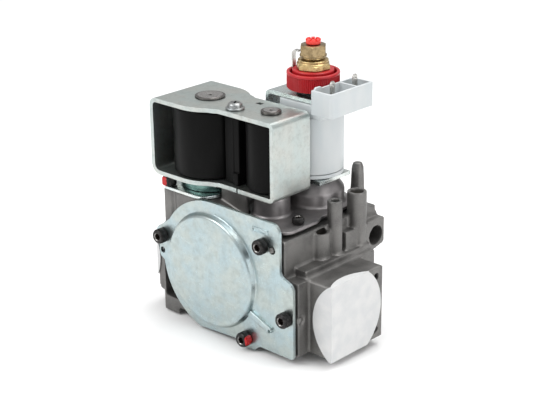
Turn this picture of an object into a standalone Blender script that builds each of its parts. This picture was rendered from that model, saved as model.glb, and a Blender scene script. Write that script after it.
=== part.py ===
"""Boiler gas valve with two safety solenoids, a servo diaphragm and an electric modulator.

Frame: the origin is at the centre of the footprint, on the surface that the valve rests on.
+X is the gas flow, from the inlet flange to the outlet flange. -Y is the side of the round
diaphragm cover. +Z is up, towards the solenoids and the modulator.
Every length below is in millimetres; meshes are scaled to metres when they are made.
"""

import math

import bmesh
import bpy
from mathutils import Matrix, Vector

MM = 0.001
GAP = 0.3  # clearance left between touching pieces
WELD = 0.004  # points nearer than this are one point after a Boolean

# Body casting
FLANGE_FACE_X = 55.0
FLANGE_SIDE = 35.0
PORT_Y = -4.0
PORT_Z = 21.5
PORT_RADIUS = 9.0
BODY_HALF_X = 41.85
BODY_FRONT = -28.3
BODY_REAR = 24.0
BODY_BOTTOM = 4.0
LOWER_TOP = 39.2
UPPER_TOP = 56.6
UPPER_WALL_X = 33.85
LEDGE_TOP = 42.6
LEDGE_X = 40.4
TOWER_TOP = 63.3
TOWER_RIGHT = -14.0
LUG_X = -45.0
LUG_BOTTOM = 1.0
PADS = ((-39.5, -27.0), (22.0, 34.0))
FLANGE_SCREW_PITCH = 26.0
M4_TAP_RADIUS = 1.65
M4_RADIUS = 1.9

# Round diaphragm cover on the front
COVER_FRONT = -31.2
SHEET = 1.5
DOME_X = -8.0
DOME_Z = 32.6
DOME_RADIUS = 27.6
DOME_FACE_RADIUS = 25.0
DOME_HEIGHT = 3.0
COVER_ARC = 32.2
POCKET_RADIUS = 24.0
COVER_SCREWS = ((-40.0, 41.3), (24.1, 53.7), (37.7, 22.8), (13.3, 5.6))

# Solenoids
EV1 = (-27.4, -10.8)
EV2 = (10.5, -10.8)
EV1_COIL_RADIUS = 17.3
EV2_COIL_RADIUS = 11.3
YOKE_LEFT = -48.4
YOKE_RIGHT = 22.6
YOKE_BOTTOM = 69.7
YOKE_TOP = 106.4
YOKE_SHEET = 2.0
YOKE_NARROW = 12.0
YOKE_WIDE = 18.3
YOKE_SCREW = (-5.4, -17.0)
TERMINAL_X = (-21.0, -17.0, -13.0)
COIL_BOTTOM = YOKE_BOTTOM + YOKE_SHEET + GAP
COIL_TOP = YOKE_TOP - YOKE_SHEET - GAP
EV1_STROKE = 2.0
EV2_STROKE = 1.2
EV1_PLUNGER_TOP = 86.0
EV2_PLUNGER_TOP = 88.0
COIL_CLEARANCE = 0.1  # left between a plunger and its pole at full stroke

BASE_SCREWS = ((-39.7, -26.6), (-38.9, 7.6), (-17.6, 7.6))
BASE_TAP_RADIUS = 1.25

# Modulator
MODULATOR = (12.1, 15.2)
BRACKET_LEFT = -7.5
BRACKET_RIGHT = 25.4
BRACKET_HALF_Y = 10.4
BRACKET_BOTTOM = 71.5
BRACKET_TOP = 110.4
BRACKET_SHEET = 1.8
SLEEVE_RADIUS = 14.0
BOX_X = (25.4, 37.2)
BOX_Y = (-1.6, 27.0)
BOX_Z = (106.4, 117.3)
RING_Z = (112.9, 120.5)
RING_RADIUS = 12.0
HUB_TOP = RING_Z[1] + 0.9
TAB_Y = (6.0, 21.2)
NUT_LOW = HUB_TOP + 5.6
NUT_TOP = NUT_LOW + 5.4
SPRING_SEAT_LOW = 115.7

# Servo cover and its gasket
SERVO_GASKET = (UPPER_TOP + GAP, UPPER_TOP + 1.1)
SERVO_PLATE = (UPPER_TOP + 1.4, UPPER_TOP + 2.9)
SERVO_SCREWS = ((28.2, -13.1), (-1.4, 28.4))
M3_TAP_RADIUS = 1.25
M3_RADIUS = 1.6
WALL_TOP = 69.2

# Test nozzles: name, x, y, radius, foot height, top height
NOZZLES = (
    ("outlet", 33.4, -4.4, 4.5, LEDGE_TOP - 4, 54.6),
    ("vent", 35.4, 3.3, 3.4, LEDGE_TOP - 4, 67.8),
    ("inlet", 35.0, 19.0, 4.5, LEDGE_TOP - 4, 67.8),
)

COLOURS = {
    "aluminium": ((0.30, 0.30, 0.29), 0.9, 0.5),
    "zinc": ((0.72, 0.76, 0.74), 1.0, 0.32),
    "dark_steel": ((0.16, 0.16, 0.18), 0.9, 0.28),
    "steel": ((0.55, 0.55, 0.54), 1.0, 0.3),
    "black_oxide": ((0.03, 0.03, 0.03), 0.6, 0.4),
    "black_plastic": ((0.02, 0.02, 0.02), 0.0, 0.35),
    "white_plastic": ((0.83, 0.86, 0.86), 0.0, 0.45),
    "red_plastic": ((0.62, 0.02, 0.03), 0.0, 0.4),
    "brass": ((0.72, 0.52, 0.22), 1.0, 0.3),
    "rubber": ((0.03, 0.03, 0.03), 0.0, 0.7),
    "copper": ((0.65, 0.30, 0.15), 1.0, 0.35),
    "paper": ((0.88, 0.88, 0.88), 0.0, 0.6),
    "teal_zinc": ((0.30, 0.42, 0.40), 1.0, 0.3),
}


# ---------------------------------------------------------------- general helpers


def clear_scene():
    for obj in list(bpy.data.objects):
        bpy.data.objects.remove(obj, do_unlink=True)


def material(kind):
    name = "mat_" + kind
    if name in bpy.data.materials:
        return bpy.data.materials[name]
    colour, metallic, roughness = COLOURS[kind]
    made = bpy.data.materials.new(name)
    made.use_nodes = True
    shader = made.node_tree.nodes["Principled BSDF"]
    shader.inputs["Base Color"].default_value = (*colour, 1.0)
    shader.inputs["Metallic"].default_value = metallic
    shader.inputs["Roughness"].default_value = roughness
    return made


def finish_mesh(name, bm, kind):
    """Turns a bmesh in millimetres into an object in metres."""
    bmesh.ops.remove_doubles(bm, verts=bm.verts, dist=1e-4)
    bmesh.ops.recalc_face_normals(bm, faces=bm.faces)
    bmesh.ops.scale(bm, vec=(MM, MM, MM), verts=bm.verts)
    mesh = bpy.data.meshes.new(name)
    bm.to_mesh(mesh)
    bm.free()
    obj = bpy.data.objects.new(name, mesh)
    bpy.context.scene.collection.objects.link(obj)
    obj.data.materials.append(material(kind))
    return obj


def boolean(target, tool, operation):
    """Applies an exact Boolean to target, removes the tool and cleans the seams."""
    modifier = target.modifiers.new(operation.lower(), "BOOLEAN")
    modifier.operation = operation
    modifier.solver = "EXACT"
    modifier.object = tool
    graph = bpy.context.evaluated_depsgraph_get()
    mesh = bpy.data.meshes.new_from_object(target.evaluated_get(graph))
    target.modifiers.clear()
    bm = bmesh.new()
    bm.from_mesh(mesh)
    bmesh.ops.remove_doubles(bm, verts=bm.verts, dist=WELD * MM)
    bmesh.ops.dissolve_degenerate(bm, edges=bm.edges, dist=WELD * MM)
    bm.to_mesh(mesh)
    bm.free()
    target.data = mesh
    bpy.data.objects.remove(tool, do_unlink=True)


def fuse(target, *tools):
    for tool in tools:
        boolean(target, tool, "UNION")
    return target


def cut(target, *tools):
    for tool in tools:
        boolean(target, tool, "DIFFERENCE")
    return target


def done(obj, kind):
    """Gives a finished node its one material and shades it."""
    obj.data.materials.clear()
    obj.data.materials.append(material(kind))
    obj.data.polygons.foreach_set("material_index", [0] * len(obj.data.polygons))
    obj.data.shade_smooth()
    obj.data.set_sharp_from_angle(angle=math.radians(35))
    return obj


def axis_matrix(axis):
    """Rotation that carries +Z onto the axis."""
    return Vector((0, 0, 1)).rotation_difference(Vector(axis)).to_matrix().to_4x4()


def block(name, x, y, z, kind="aluminium"):
    bm = bmesh.new()
    bmesh.ops.create_cube(bm, size=1.0)
    size = Vector((x[1] - x[0], y[1] - y[0], z[1] - z[0]))
    centre = Vector((x[0] + x[1], y[0] + y[1], z[0] + z[1])) / 2
    bmesh.ops.scale(bm, vec=size, verts=bm.verts)
    bmesh.ops.translate(bm, vec=centre, verts=bm.verts)
    return finish_mesh(name, bm, kind)


def turned(name, profile, at, axis=(0, 0, 1), segments=24, kind="aluminium", phase=0.0):
    """Solid of revolution through (radius, height) points: open at radius 0, or else a closed loop."""
    bm = bmesh.new()
    rings = []
    angles = [phase + 2 * math.pi * i / segments for i in range(segments)]
    for radius, height in profile:
        if radius > 0:
            ring = [(radius * math.cos(a), radius * math.sin(a), height) for a in angles]
            rings.append([bm.verts.new(point) for point in ring])
    solid = len(rings) < len(profile)
    if solid:
        bm.faces.new(rings[0])
        bm.faces.new(rings[-1])
    following = rings[1:] if solid else rings[1:] + rings[:1]
    for first, second in zip(rings, following):
        for i in range(segments):
            j = (i + 1) % segments
            bm.faces.new((first[i], first[j], second[j], second[i]))
    bmesh.ops.transform(bm, matrix=Matrix.Translation(at) @ axis_matrix(axis), verts=bm.verts)
    return finish_mesh(name, bm, kind)


def rod(name, at, radius, start, end, axis=(0, 0, 1), segments=20, kind="aluminium", phase=0.0):
    profile = ((0, start), (radius, start), (radius, end), (0, end))
    return turned(name, profile, at, axis, segments, kind, phase)


def tube(name, at, inner, outer, start, end, axis=(0, 0, 1), segments=20, kind="aluminium"):
    profile = ((outer, start), (outer, end), (inner, end), (inner, start))
    return turned(name, profile, at, axis, segments, kind)


def drill(start, end, radius, segments=12):
    """Cutter between two points."""
    start, end = Vector(start), Vector(end)
    length = (end - start).length
    return rod("drill", start, radius, 0, length, (end - start).normalized(), segments)


def rounded(corners, steps=4):
    """Outline through (u, v, radius) corners, each corner rounded by an arc of its radius."""
    points = []
    count = len(corners)
    for index, (u, v, radius) in enumerate(corners):
        here = Vector((u, v))
        if radius == 0:
            points.append(here)
            continue
        before = (Vector(corners[index - 1][:2]) - here).normalized()
        after = (Vector(corners[(index + 1) % count][:2]) - here).normalized()
        half = before.angle(after) / 2
        centre = here + (before + after).normalized() * radius / math.sin(half)
        first = here + before * radius / math.tan(half) - centre
        sweep = first.angle_signed(here + after * radius / math.tan(half) - centre)
        for step in range(steps + 1):
            points.append(centre + Matrix.Rotation(-sweep * step / steps, 2) @ first)
    return points


def arc(centre, radius, start, end, steps):
    """Points on a circle from the start angle to the end angle, in degrees."""
    points = []
    for step in range(steps + 1):
        angle = math.radians(start + (end - start) * step / steps)
        points.append(Vector((centre[0] + radius * math.cos(angle), centre[1] + radius * math.sin(angle))))
    return points


PLANES = {
    "x": lambda u, v, w: (w, u, v),
    "y": lambda u, v, w: (u, w, v),
    "z": lambda u, v, w: (u, v, w),
}


def plate(name, outline, axis, start, end, kind="aluminium"):
    """Extrudes an outline along an axis. The outline is YZ for x, XZ for y and XY for z."""
    place = PLANES[axis]
    bm = bmesh.new()
    bottom = [bm.verts.new(place(point[0], point[1], start)) for point in outline]
    top = [bm.verts.new(place(point[0], point[1], end)) for point in outline]
    bm.faces.new(bottom)
    bm.faces.new(top)
    for i in range(len(outline)):
        j = (i + 1) % len(outline)
        bm.faces.new((bottom[i], bottom[j], top[j], top[i]))
    return finish_mesh(name, bm, kind)


def helix(name, at, radius, wire, start, end, turns, axis=(0, 0, 1), kind="steel"):
    """Compression spring: a square-section wire wound from start to end."""
    per_turn = 10
    bm = bmesh.new()
    rings = []
    count = int(turns * per_turn)
    for i in range(count + 1):
        angle = 2 * math.pi * i / per_turn
        height = start + wire + (end - start - 2 * wire) * i / count
        ring = []
        for j in range(4):
            turn = math.pi / 4 + math.pi / 2 * j
            r = radius + wire * math.cos(turn)
            point = (r * math.cos(angle), r * math.sin(angle), height + wire * math.sin(turn))
            ring.append(bm.verts.new(point))
        rings.append(ring)
    for first, second in zip(rings, rings[1:]):
        for j in range(4):
            bm.faces.new((first[j], first[(j + 1) % 4], second[(j + 1) % 4], second[j]))
    bm.faces.new(rings[0])
    bm.faces.new(rings[-1])
    bmesh.ops.transform(bm, matrix=Matrix.Translation(at) @ axis_matrix(axis), verts=bm.verts)
    return done(finish_mesh(name, bm, kind), kind)


def cap_screw(name, at, axis, head_radius, head, shank, tap=M4_TAP_RADIUS):
    """Socket cap screw. The point at is under the head; axis runs from there out of the head."""
    radius = tap - 0.2
    profile = ((0, -shank), (radius, -shank), (radius, 0), (head_radius, 0), (head_radius, head), (0, head))
    screw = turned(name, profile, at, axis, 16)
    across, deep = 0.49 * head_radius, 0.55 * head
    hollow = ((0, head - deep), (across, head - deep), (across, head + 1), (0, head + 1))
    socket = turned("socket", hollow, at, axis, 6)
    return done(cut(screw, socket), "black_oxide")


# ---------------------------------------------------------------- body casting


def flange_block(side):
    """One flange; side is -1 for the inlet and 1 for the outlet."""
    half = FLANGE_SIDE / 2
    low_y, high_y = PORT_Y - half, PORT_Y + half
    low_z, high_z = PORT_Z - half, PORT_Z + half
    front_low = 4.5 if side < 0 else 1.0
    corners = ((low_y, low_z, front_low), (high_y, low_z, 1.0), (high_y, high_z, 1.0), (low_y, high_z, 1.0))
    ends = sorted((side * (BODY_HALF_X - 2), side * FLANGE_FACE_X))
    return plate("flange", rounded(corners, 3), "x", *ends)


def nozzle(x, y, radius, foot, top):
    return rod("nozzle", (x, y, 0), radius, foot, top, segments=20)


def middle_wall():
    """Wall between the two solenoids, with a ramp from the tower down in front of it."""
    left, right, low = TOWER_RIGHT - 0.5, 3.4, UPPER_TOP - 1
    ramp = ((left, low), (left, 63.2), (right, 58.6), (right, low))
    return [
        plate("ramp", ramp, "y", BODY_FRONT, -19.5),
        block("wall", (-12.6, -3.0), (-20.0, -14.6), (low, WALL_TOP)),
        block("wall", (-4.0, right), (-20.0, -18.2), (low, WALL_TOP)),
    ]


def rear_boss():
    """Side boss with the sloped gusset on it, at the rear of the outlet side."""
    face = ((8, 30), (22, 32), (26, 36.4), (35.5, 38.8), (35.5, 51.4), (8, 51.4))
    gusset = ((22.0, 50), (35.2, 50), (35.2, 52.8), (27.6, 59.4), (22.0, 59.4))
    boss = plate("boss", face, "x", 18, 38)
    return fuse(boss, plate("gusset", gusset, "x", 30.8, 33.7))


def rear_post():
    profile = ((0, 49), (3.9, 49), (2.8, 74), (2.0, 76.2), (0, 76.6))
    return turned("post", profile, (25.8, 30.4, 0), segments=14)


def front_recess():
    """Cored pocket in the lower inlet corner of the front, outside the diaphragm chamber."""
    pocket = block("pocket", (LUG_X + 1.8, -20.0), (BODY_FRONT - 1, -15.5), (8.6, 34.0))
    wall = rod("wall", (DOME_X, 0, DOME_Z), POCKET_RADIUS + 3.6, -16, 29, (0, -1, 0), 32)
    return cut(pocket, wall)


def body_passages():
    """Gas passages between the ports, the two solenoid seats and the main valve seat."""
    inlet_end = EV1[0] + 6
    x, y = EV1
    mod_x, mod_y = MODULATOR
    return [
        rod("inlet", (0, PORT_Y, PORT_Z), PORT_RADIUS, -inlet_end, FLANGE_FACE_X + 1, (-1, 0, 0), 20),
        rod("outlet", (0, PORT_Y, PORT_Z), PORT_RADIUS, DOME_X, FLANGE_FACE_X + 1, (1, 0, 0), 20),
        rod("ev1_chamber", (x, y, 0), 11.0, 47.0, TOWER_TOP + 1, segments=20),
        rod("ev1_seat", (x, y, 0), 6.0, PORT_Z, 48.0, segments=16),
        rod("ev2_seat", (*EV2, 0), 2.2, 46.0, UPPER_TOP + 1, segments=10),
        rod("pocket", (DOME_X, 0, DOME_Z), POCKET_RADIUS, 21.0, -BODY_FRONT + 1, (0, -1, 0), 32),
        rod("outlet_chamber", (DOME_X, 0, DOME_Z), 8.6, -5.0, 22.0, (0, -1, 0), 20),
        rod("main_seat", (DOME_X, 0, DOME_Z), 6.6, -9.0, 0.0, (0, -1, 0), 20),
        rod("inlet_chamber", (DOME_X, 0, DOME_Z), 10.5, -21.5, -8.5, (0, -1, 0), 20),
        drill((x + 4, y + 4, 51.0), (DOME_X - 3, 15.0, DOME_Z + 2), 3.6),
        rod("servo_chamber", (mod_x, mod_y, 0), 9.5, 51.5, UPPER_TOP + 1, segments=20),
        drill((mod_x, mod_y, 52.0), (18.0, 1.0, PORT_Z + 4), 1.2, 8),
    ]


def tapped_holes():
    """Blind holes for the screws of the flanges, the covers and the solenoid base."""
    holes = []
    pitch = FLANGE_SCREW_PITCH / 2
    for side in (-1, 1):
        for dy in (-pitch, pitch):
            for dz in (-pitch, pitch):
                at = (0, PORT_Y + dy, PORT_Z + dz)
                holes.append(rod("hole", at, M4_TAP_RADIUS, 46, FLANGE_FACE_X + 1, (side, 0, 0), 10))
    for x, z in COVER_SCREWS:
        holes.append(rod("hole", (x, 0, z), M4_TAP_RADIUS, 18.5, 35, (0, -1, 0), 10))
    for x, y in SERVO_SCREWS:
        holes.append(rod("hole", (x, y, 0), M3_TAP_RADIUS, 46, UPPER_TOP + 1, segments=10))
    for x, y in BASE_SCREWS:
        holes.append(rod("hole", (x, y, 0), BASE_TAP_RADIUS, 53.5, TOWER_TOP + 1, segments=10))
    return holes


def valve_body():
    lower = (-BODY_HALF_X, BODY_HALF_X)
    depth = (BODY_FRONT, BODY_REAR)
    body = block("valve_body", lower, depth, (BODY_BOTTOM, LOWER_TOP))
    fuse(
        body,
        block("upper", (-16.0, UPPER_WALL_X), (BODY_FRONT, 34.0), (LOWER_TOP - 1, UPPER_TOP)),
        block("ledge", (UPPER_WALL_X - 1, LEDGE_X), (-21.5, BODY_REAR - 1), (LOWER_TOP - 1, LEDGE_TOP)),
        block("tower", (-BODY_HALF_X, TOWER_RIGHT), (BODY_FRONT, 13.0), (LOWER_TOP - 1, TOWER_TOP)),
        *middle_wall(),
        flange_block(-1),
        flange_block(1),
        block("lug", (LUG_X, -34.8), (BODY_FRONT, -12.0), (LUG_BOTTOM, LOWER_TOP - 2)),
        *[block("pad", x, (-16.0, BODY_REAR - 3), (0, BODY_BOTTOM + 1)) for x in PADS],
        rear_boss(),
        rear_post(),
        rod("ear_left", (-40.0, 0, 41.3), 4.4, 17, -BODY_FRONT, (0, -1, 0), 16),
        rod("ear_low", (13.3, 0, 5.6), 4.6, 17, -BODY_FRONT, (0, -1, 0), 16),
        *[nozzle(*size) for _, *size in NOZZLES],
    )
    cut(body, *body_passages())
    cut(body, *tapped_holes())
    cut(body, front_recess())
    for _, x, y, radius, _, top in NOZZLES:
        cut(body, rod("bore", (x, y, 0), radius - 1.5, top - 9, top + 1, segments=16))
        cut(body, rod("duct", (x, y, 0), 0.9, 40, top - 8, segments=8))
    cut(
        body,
        rod("side_hole", (0, 29.3, 43.7), 4.6, 22, 39, (1, 0, 0), 20),
        rod("groove", (-35.5, BODY_FRONT - 0.6, 0), 1.8, 44, TOWER_TOP + 1, segments=12),
    )
    return done(body, "aluminium")


def port_seal(name, side, offset_y, offset_z):
    """Round paper sticker over a port; what overhangs the flange is folded onto its edges."""
    skin, glue = 0.4, 0.1
    radius = 22.0
    reach = FLANGE_SIDE / 2 + glue
    edge = side * (FLANGE_FACE_X + glue)
    outer = side * (FLANGE_FACE_X + glue + skin)
    y, z = PORT_Y + offset_y, PORT_Z + offset_z
    seal = plate(name, arc((y, z), radius, 0, 351, 39), "x", *sorted((edge, outer)))
    far = 200
    everywhere = (-far, far)
    for sign in (-1, 1):
        # The fold on each edge is the same disc, turned about that edge.
        centre = (edge + side * (reach - sign * offset_y), z)
        limits = sorted((PORT_Y + sign * reach, PORT_Y + sign * (reach + skin)))
        fuse(seal, plate("fold", arc(centre, radius, 0, 351, 39), "y", *limits))
        centre = (edge + side * (reach - sign * offset_z), y)
        limits = sorted((PORT_Z + sign * reach, PORT_Z + sign * (reach + skin)))
        fuse(seal, plate("fold", arc(centre, radius - 0.3, 4, 355, 39), "z", *limits))
    cut(seal, block("beyond", sorted((outer, side * far)), everywhere, everywhere))
    for sign in (-1, 1):
        past_y = sorted((PORT_Y + sign * (reach + skin), sign * far))
        past_z = sorted((PORT_Z + sign * (reach + skin), sign * far))
        cut(
            seal,
            block("past", everywhere, past_y, everywhere),
            block("past", everywhere, everywhere, past_z),
        )
    return done(seal, "paper")


def inlet_filter():
    """Gauze cup in the inlet port."""
    at = (0, PORT_Y, PORT_Z)
    radius, wall = PORT_RADIUS - GAP, 0.8
    cup = rod("inlet_filter", at, radius, 40.0, FLANGE_FACE_X - 1.0, (-1, 0, 0), 20)
    hollow = rod("hollow", at, radius - wall, 40.0 + wall, FLANGE_FACE_X, (-1, 0, 0), 20)
    return done(cut(cup, hollow), "steel")


# ---------------------------------------------------------------- diaphragm cover


def cover_outline(inset=0.0):
    """Outline of the front cover in XZ: a round half, a screw ear and a square half."""
    centre = (DOME_X, DOME_Z)
    low_left = arc(centre, COVER_ARC - inset, 254, 187, 13)
    lobe = [Vector((-42.4 + inset, 30.2)), Vector((-43.2 + inset, 32.0)), Vector((-43.2 + inset, 36.5))]
    ear = arc(COVER_SCREWS[0], 5.0 - inset, 215, 110, 6)
    high_left = arc(centre, COVER_ARC + 0.6 - inset, 147, 88, 10)
    right = rounded(
        (
            (28.0, 65.3 - inset, 0),
            (33.6 - inset, 65.3 - inset, 4.5),
            (33.6 - inset, 41.8, 3.0),
            (41.4 - inset, 38.8, 4.0),
            (41.4 - inset, 3.6 + inset, 1.2),
            (21.0, 3.6 + inset, 3.0),
            (17.6, 0.6 + inset, 3.0),
            (9.5, 0.3 + inset, 2.0),
            (6.5, 3.0, 0),
        )
    )
    return low_left + lobe + ear + high_left + right


def cover_holes(start, end, radius):
    return [rod("hole", (x, 0, z), radius, -end, -start, (0, -1, 0), 12) for x, z in COVER_SCREWS]


def main_cover():
    back = COVER_FRONT + SHEET
    cover = plate("main_cover", cover_outline(), "y", COVER_FRONT, back)
    front = -COVER_FRONT
    at = (DOME_X, 0, DOME_Z)
    face = front + DOME_HEIGHT
    outer = ((0, front - 0.5), (DOME_RADIUS, front - 0.5), (DOME_RADIUS, front))
    outer += ((DOME_FACE_RADIUS + 0.8, face - 0.7), (DOME_FACE_RADIUS, face), (0, face))
    inner = ((0, -back - 1), (DOME_RADIUS - SHEET, -back - 1), (DOME_RADIUS - SHEET, -back))
    inner += ((DOME_FACE_RADIUS - SHEET, face - SHEET), (0, face - SHEET))
    fuse(cover, turned("dome", outer, at, (0, -1, 0), 40))
    cut(cover, turned("inside", inner, at, (0, -1, 0), 40))
    cut(cover, *cover_holes(COVER_FRONT - 1, back + 1, M4_RADIUS))
    slot_corners = ((26.4, 54.4, 1.2), (25.6, 51.6, 1.2), (29.8, 50.4, 1.2), (30.6, 53.2, 1.2))
    slot = plate("slot", rounded(slot_corners, 2), "y", -33, -29)
    small = rod("small_hole", (-41.0, 0, 33.4), 1.4, 25, 35, (0, -1, 0), 12)
    cut(cover, slot, small)
    rib_corners = ((15.2, 18.6), (26.8, 13.0), (28.4, 15.4), (16.6, 21.2))
    rib = plate("rib", rib_corners, "y", -32.5, -30.5)
    return done(fuse(cover, rib), "zinc")


def main_cover_gasket():
    start, end = COVER_FRONT + SHEET + GAP, BODY_FRONT - GAP
    gasket = plate("main_cover_gasket", cover_outline(0.8), "y", start, end)
    cut(gasket, rod("open", (DOME_X, 0, DOME_Z), POCKET_RADIUS, 20, 40, (0, -1, 0), 32))
    cut(gasket, *cover_holes(start - 1, end + 1, M4_RADIUS))
    return done(gasket, "rubber")


def main_diaphragm():
    """Rolling diaphragm with one convolution, free to move inside the chamber."""
    front = -(COVER_FRONT + SHEET + 0.4)
    back = front - 0.8
    rim = POCKET_RADIUS - GAP
    profile = (
        (3.0, back), (16.5, back), (18.0, back - 2.6), (20.0, back - 2.6), (21.5, back), (rim, back),
        (rim, front), (20.7, front), (19.4, front - 2.4), (18.6, front - 2.4), (17.3, front), (3.0, front),
    )
    return done(turned("main_diaphragm", profile, (DOME_X, 0, DOME_Z), (0, -1, 0), 32), "rubber")


def diaphragm_plate():
    """Plate clamped behind the diaphragm, with the boss that carries the valve stem."""
    front = -(COVER_FRONT + SHEET + 0.4) - 0.8 - GAP
    profile = ((0, front - 1.2), (15.5, front - 1.2), (15.5, front))
    profile += ((2.7, front), (2.7, front + 1.8), (0, front + 1.8))
    return done(turned("diaphragm_plate", profile, (DOME_X, 0, DOME_Z), (0, -1, 0), 28), "zinc")


def main_valve_stem():
    """Stem from the diaphragm plate to the valve disc behind the seat."""
    front = -(COVER_FRONT + SHEET + 0.4) - 0.8 - 1.2 - 2 * GAP
    profile = (
        (0, -13.0), (3.0, -13.0), (3.0, -10.9), (8.2, -10.9), (8.2, -8.8), (2.0, -8.8),
        (2.0, front - 1.6), (4.0, front - 1.6), (4.0, front), (0, front),
    )
    return done(turned("main_valve_stem", profile, (DOME_X, 0, DOME_Z), (0, -1, 0), 20), "brass")


def cover_screws():
    for index, (x, z) in enumerate(COVER_SCREWS, 1):
        cap_screw(f"cover_screw_{index}", (x, COVER_FRONT - GAP, z), (0, -1, 0), 3.5, 4.0, 10.0)


# ---------------------------------------------------------------- servo cover


def servo_outline(inset=0.0):
    low_x, high_x, low_y, high_y = -4.5 + inset, 32.0 - inset, -22.3 + inset, 31.2 - inset
    return rounded(
        (
            (3.8 + inset, low_y, 1.0),
            (28.6 - inset, low_y, 3.5),
            (high_x, -18.5, 2.5),
            (high_x, -12.0, 3.0),
            (30.2 - inset, -6.0, 2.0),
            (30.2 - inset, 19.0, 3.0),
            (19.0 - inset, high_y, 3.0),
            (low_x, high_y, 4.0),
            (low_x, -9.5, 2.0),
            (-1.5 + inset, -14.2 + inset, 2.0),
            (3.8 + inset, -17.9 + inset, 0.5),
        )
    )


def servo_cover():
    """Stamped cover with a small cup for EV2 and a large stepped cup for the modulator."""
    low, top = SERVO_PLATE
    cover = plate("servo_cover", servo_outline(), "z", low, top)
    foot = low + 0.4
    small = ((0, foot), (9.4, foot), (9.4, top - 0.1), (8.2, top + 1.2), (8.2, 68.0), (7.4, 68.9), (0, 68.9))
    large = ((0, foot), (15.6, foot), (15.6, top - 0.1), (14.4, top + 1.2))
    large += ((14.4, 65.0), (13.4, 66.6), (10.6, 70.8), (0, 70.8))
    fuse(
        cover,
        turned("small", small, (*EV2, 0), segments=28),
        turned("large", large, (*MODULATOR, 0), segments=32),
    )
    small_in = ((0, low - 1), (6.9, low - 1), (6.9, 67.6), (0, 67.6))
    large_in = ((0, low - 1), (13.0, low - 1), (13.0, 64.6), (9.4, 69.4), (0, 69.4))
    cut(
        cover,
        turned("small_in", small_in, (*EV2, 0), segments=28),
        turned("large_in", large_in, (*MODULATOR, 0), segments=32),
        rod("ev2_hole", (*EV2, 0), 5.5, 66, 70, segments=24),
        rod("modulator_hole", (*MODULATOR, 0), 6.5, 69, 72, segments=24),
        *[rod("hole", (x, y, 0), M3_RADIUS, 55, 62, segments=12) for x, y in SERVO_SCREWS],
    )
    return done(cover, "dark_steel")


def servo_cover_gasket():
    low, top = SERVO_GASKET
    gasket = plate("servo_cover_gasket", servo_outline(0.7), "z", low, top)
    cut(
        gasket,
        rod("open_1", (*EV2, 0), 6.8, low - 1, top + 1, segments=20),
        rod("open_2", (*MODULATOR, 0), 12.9, low - 1, top + 1, segments=24),
        *[rod("hole", (x, y, 0), M3_RADIUS, low - 1, top + 1, segments=10) for x, y in SERVO_SCREWS],
    )
    return done(gasket, "rubber")


def servo_cover_screws():
    for index, (x, y) in enumerate(SERVO_SCREWS, 1):
        at = (x, y, SERVO_PLATE[1] + GAP)
        cap_screw(f"servo_cover_screw_{index}", at, (0, 0, 1), 2.75, 3.0, 9.0, M3_TAP_RADIUS)


# ---------------------------------------------------------------- solenoids


def ev1_base_plate():
    corners = ((-41.7, -29.0, 2.0), (-16.4, -29.0, 4.0), (-13.4, -22.0, 3.0))
    corners += ((-13.4, 12.5, 3.0), (-41.7, 12.5, 3.0))
    low = TOWER_TOP + GAP
    base = plate("ev1_base_plate", rounded(corners), "z", low, low + 1.4)
    hole_radius = BASE_TAP_RADIUS + 0.15
    holes = [rod("hole", (x, y, 0), hole_radius, low - 1, low + 3, segments=10) for x, y in BASE_SCREWS]
    cut(base, rod("tube_hole", (*EV1, 0), 8.2, low - 1, low + 3, segments=24), *holes)
    return done(base, "zinc")


def ev1_guide_tube():
    """Guide tube of EV1 with its wide flange cup on the base plate."""
    low = TOWER_TOP + GAP + 1.4 + GAP
    profile = (
        (7.9, low), (14.6, low), (14.6, low + 2.8), (13.6, low + 4.0), (7.9, low + 4.0),
        (7.9, COIL_TOP - 1), (7.3, COIL_TOP - 1), (7.3, low),
    )
    return done(turned("ev1_guide_tube", profile, (*EV1, 0), segments=28), "teal_zinc")


def ev2_guide_tube():
    low = 65.6
    profile = ((5.2, 67.2), (5.2, COIL_TOP - 1), (4.6, COIL_TOP - 1), (4.6, low), (6.5, low), (6.5, 67.2))
    return done(turned("ev2_guide_tube", profile, (*EV2, 0), segments=20), "steel")


def pole(name, at, radius, bottom, neck, disc, dome):
    """Fixed core: inside the guide tube, through the yoke, and riveted over it as a disc."""
    shoulder = YOKE_TOP - YOKE_SHEET - GAP
    profile = (
        (0, bottom), (radius, bottom), (radius, shoulder), (neck, shoulder), (neck, YOKE_TOP + GAP),
        (disc, YOKE_TOP + GAP), (disc, YOKE_TOP + 0.7), (disc - 0.6, YOKE_TOP + dome), (0, YOKE_TOP + dome),
    )
    core = turned(name, profile, (*at, 0), segments=24)
    cut(core, rod("mark", (*at, 0), 0.6, YOKE_TOP + dome - 0.5, YOKE_TOP + dome + 1, segments=8))
    return done(core, "steel")


def ev1_plunger():
    top = EV1_PLUNGER_TOP
    profile = ((0, 49.6), (3.0, 49.6), (3.0, 54.4), (6.9, 56.4), (6.9, top), (5.4, top), (5.4, 78.0), (0, 78.0))
    return done(turned("ev1_plunger", profile, (*EV1, 0), segments=20), "steel")


def ev1_valve_disc():
    """Rubber-faced disc that closes the EV1 seat."""
    profile = ((3.3, 47.3), (8.6, 47.3), (8.6, 49.3), (5.0, 51.4), (3.3, 51.4))
    disc = turned("ev1_valve_disc", profile, (*EV1, 0), segments=20)
    fuse(disc, rod("face", (*EV1, 0), 8.6, 47.3, 49.0, segments=20))
    return done(disc, "rubber")


def ev2_plunger():
    """Plunger of the servo solenoid, with the pad that closes the bleed seat."""
    low, top = UPPER_TOP + GAP, EV2_PLUNGER_TOP
    profile = ((0, low), (3.0, low), (3.0, 60.0), (4.3, 61.0), (4.3, top), (1.8, top), (1.8, 82.0), (0, 82.0))
    return done(turned("ev2_plunger", profile, (*EV2, 0), segments=16), "steel")


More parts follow.
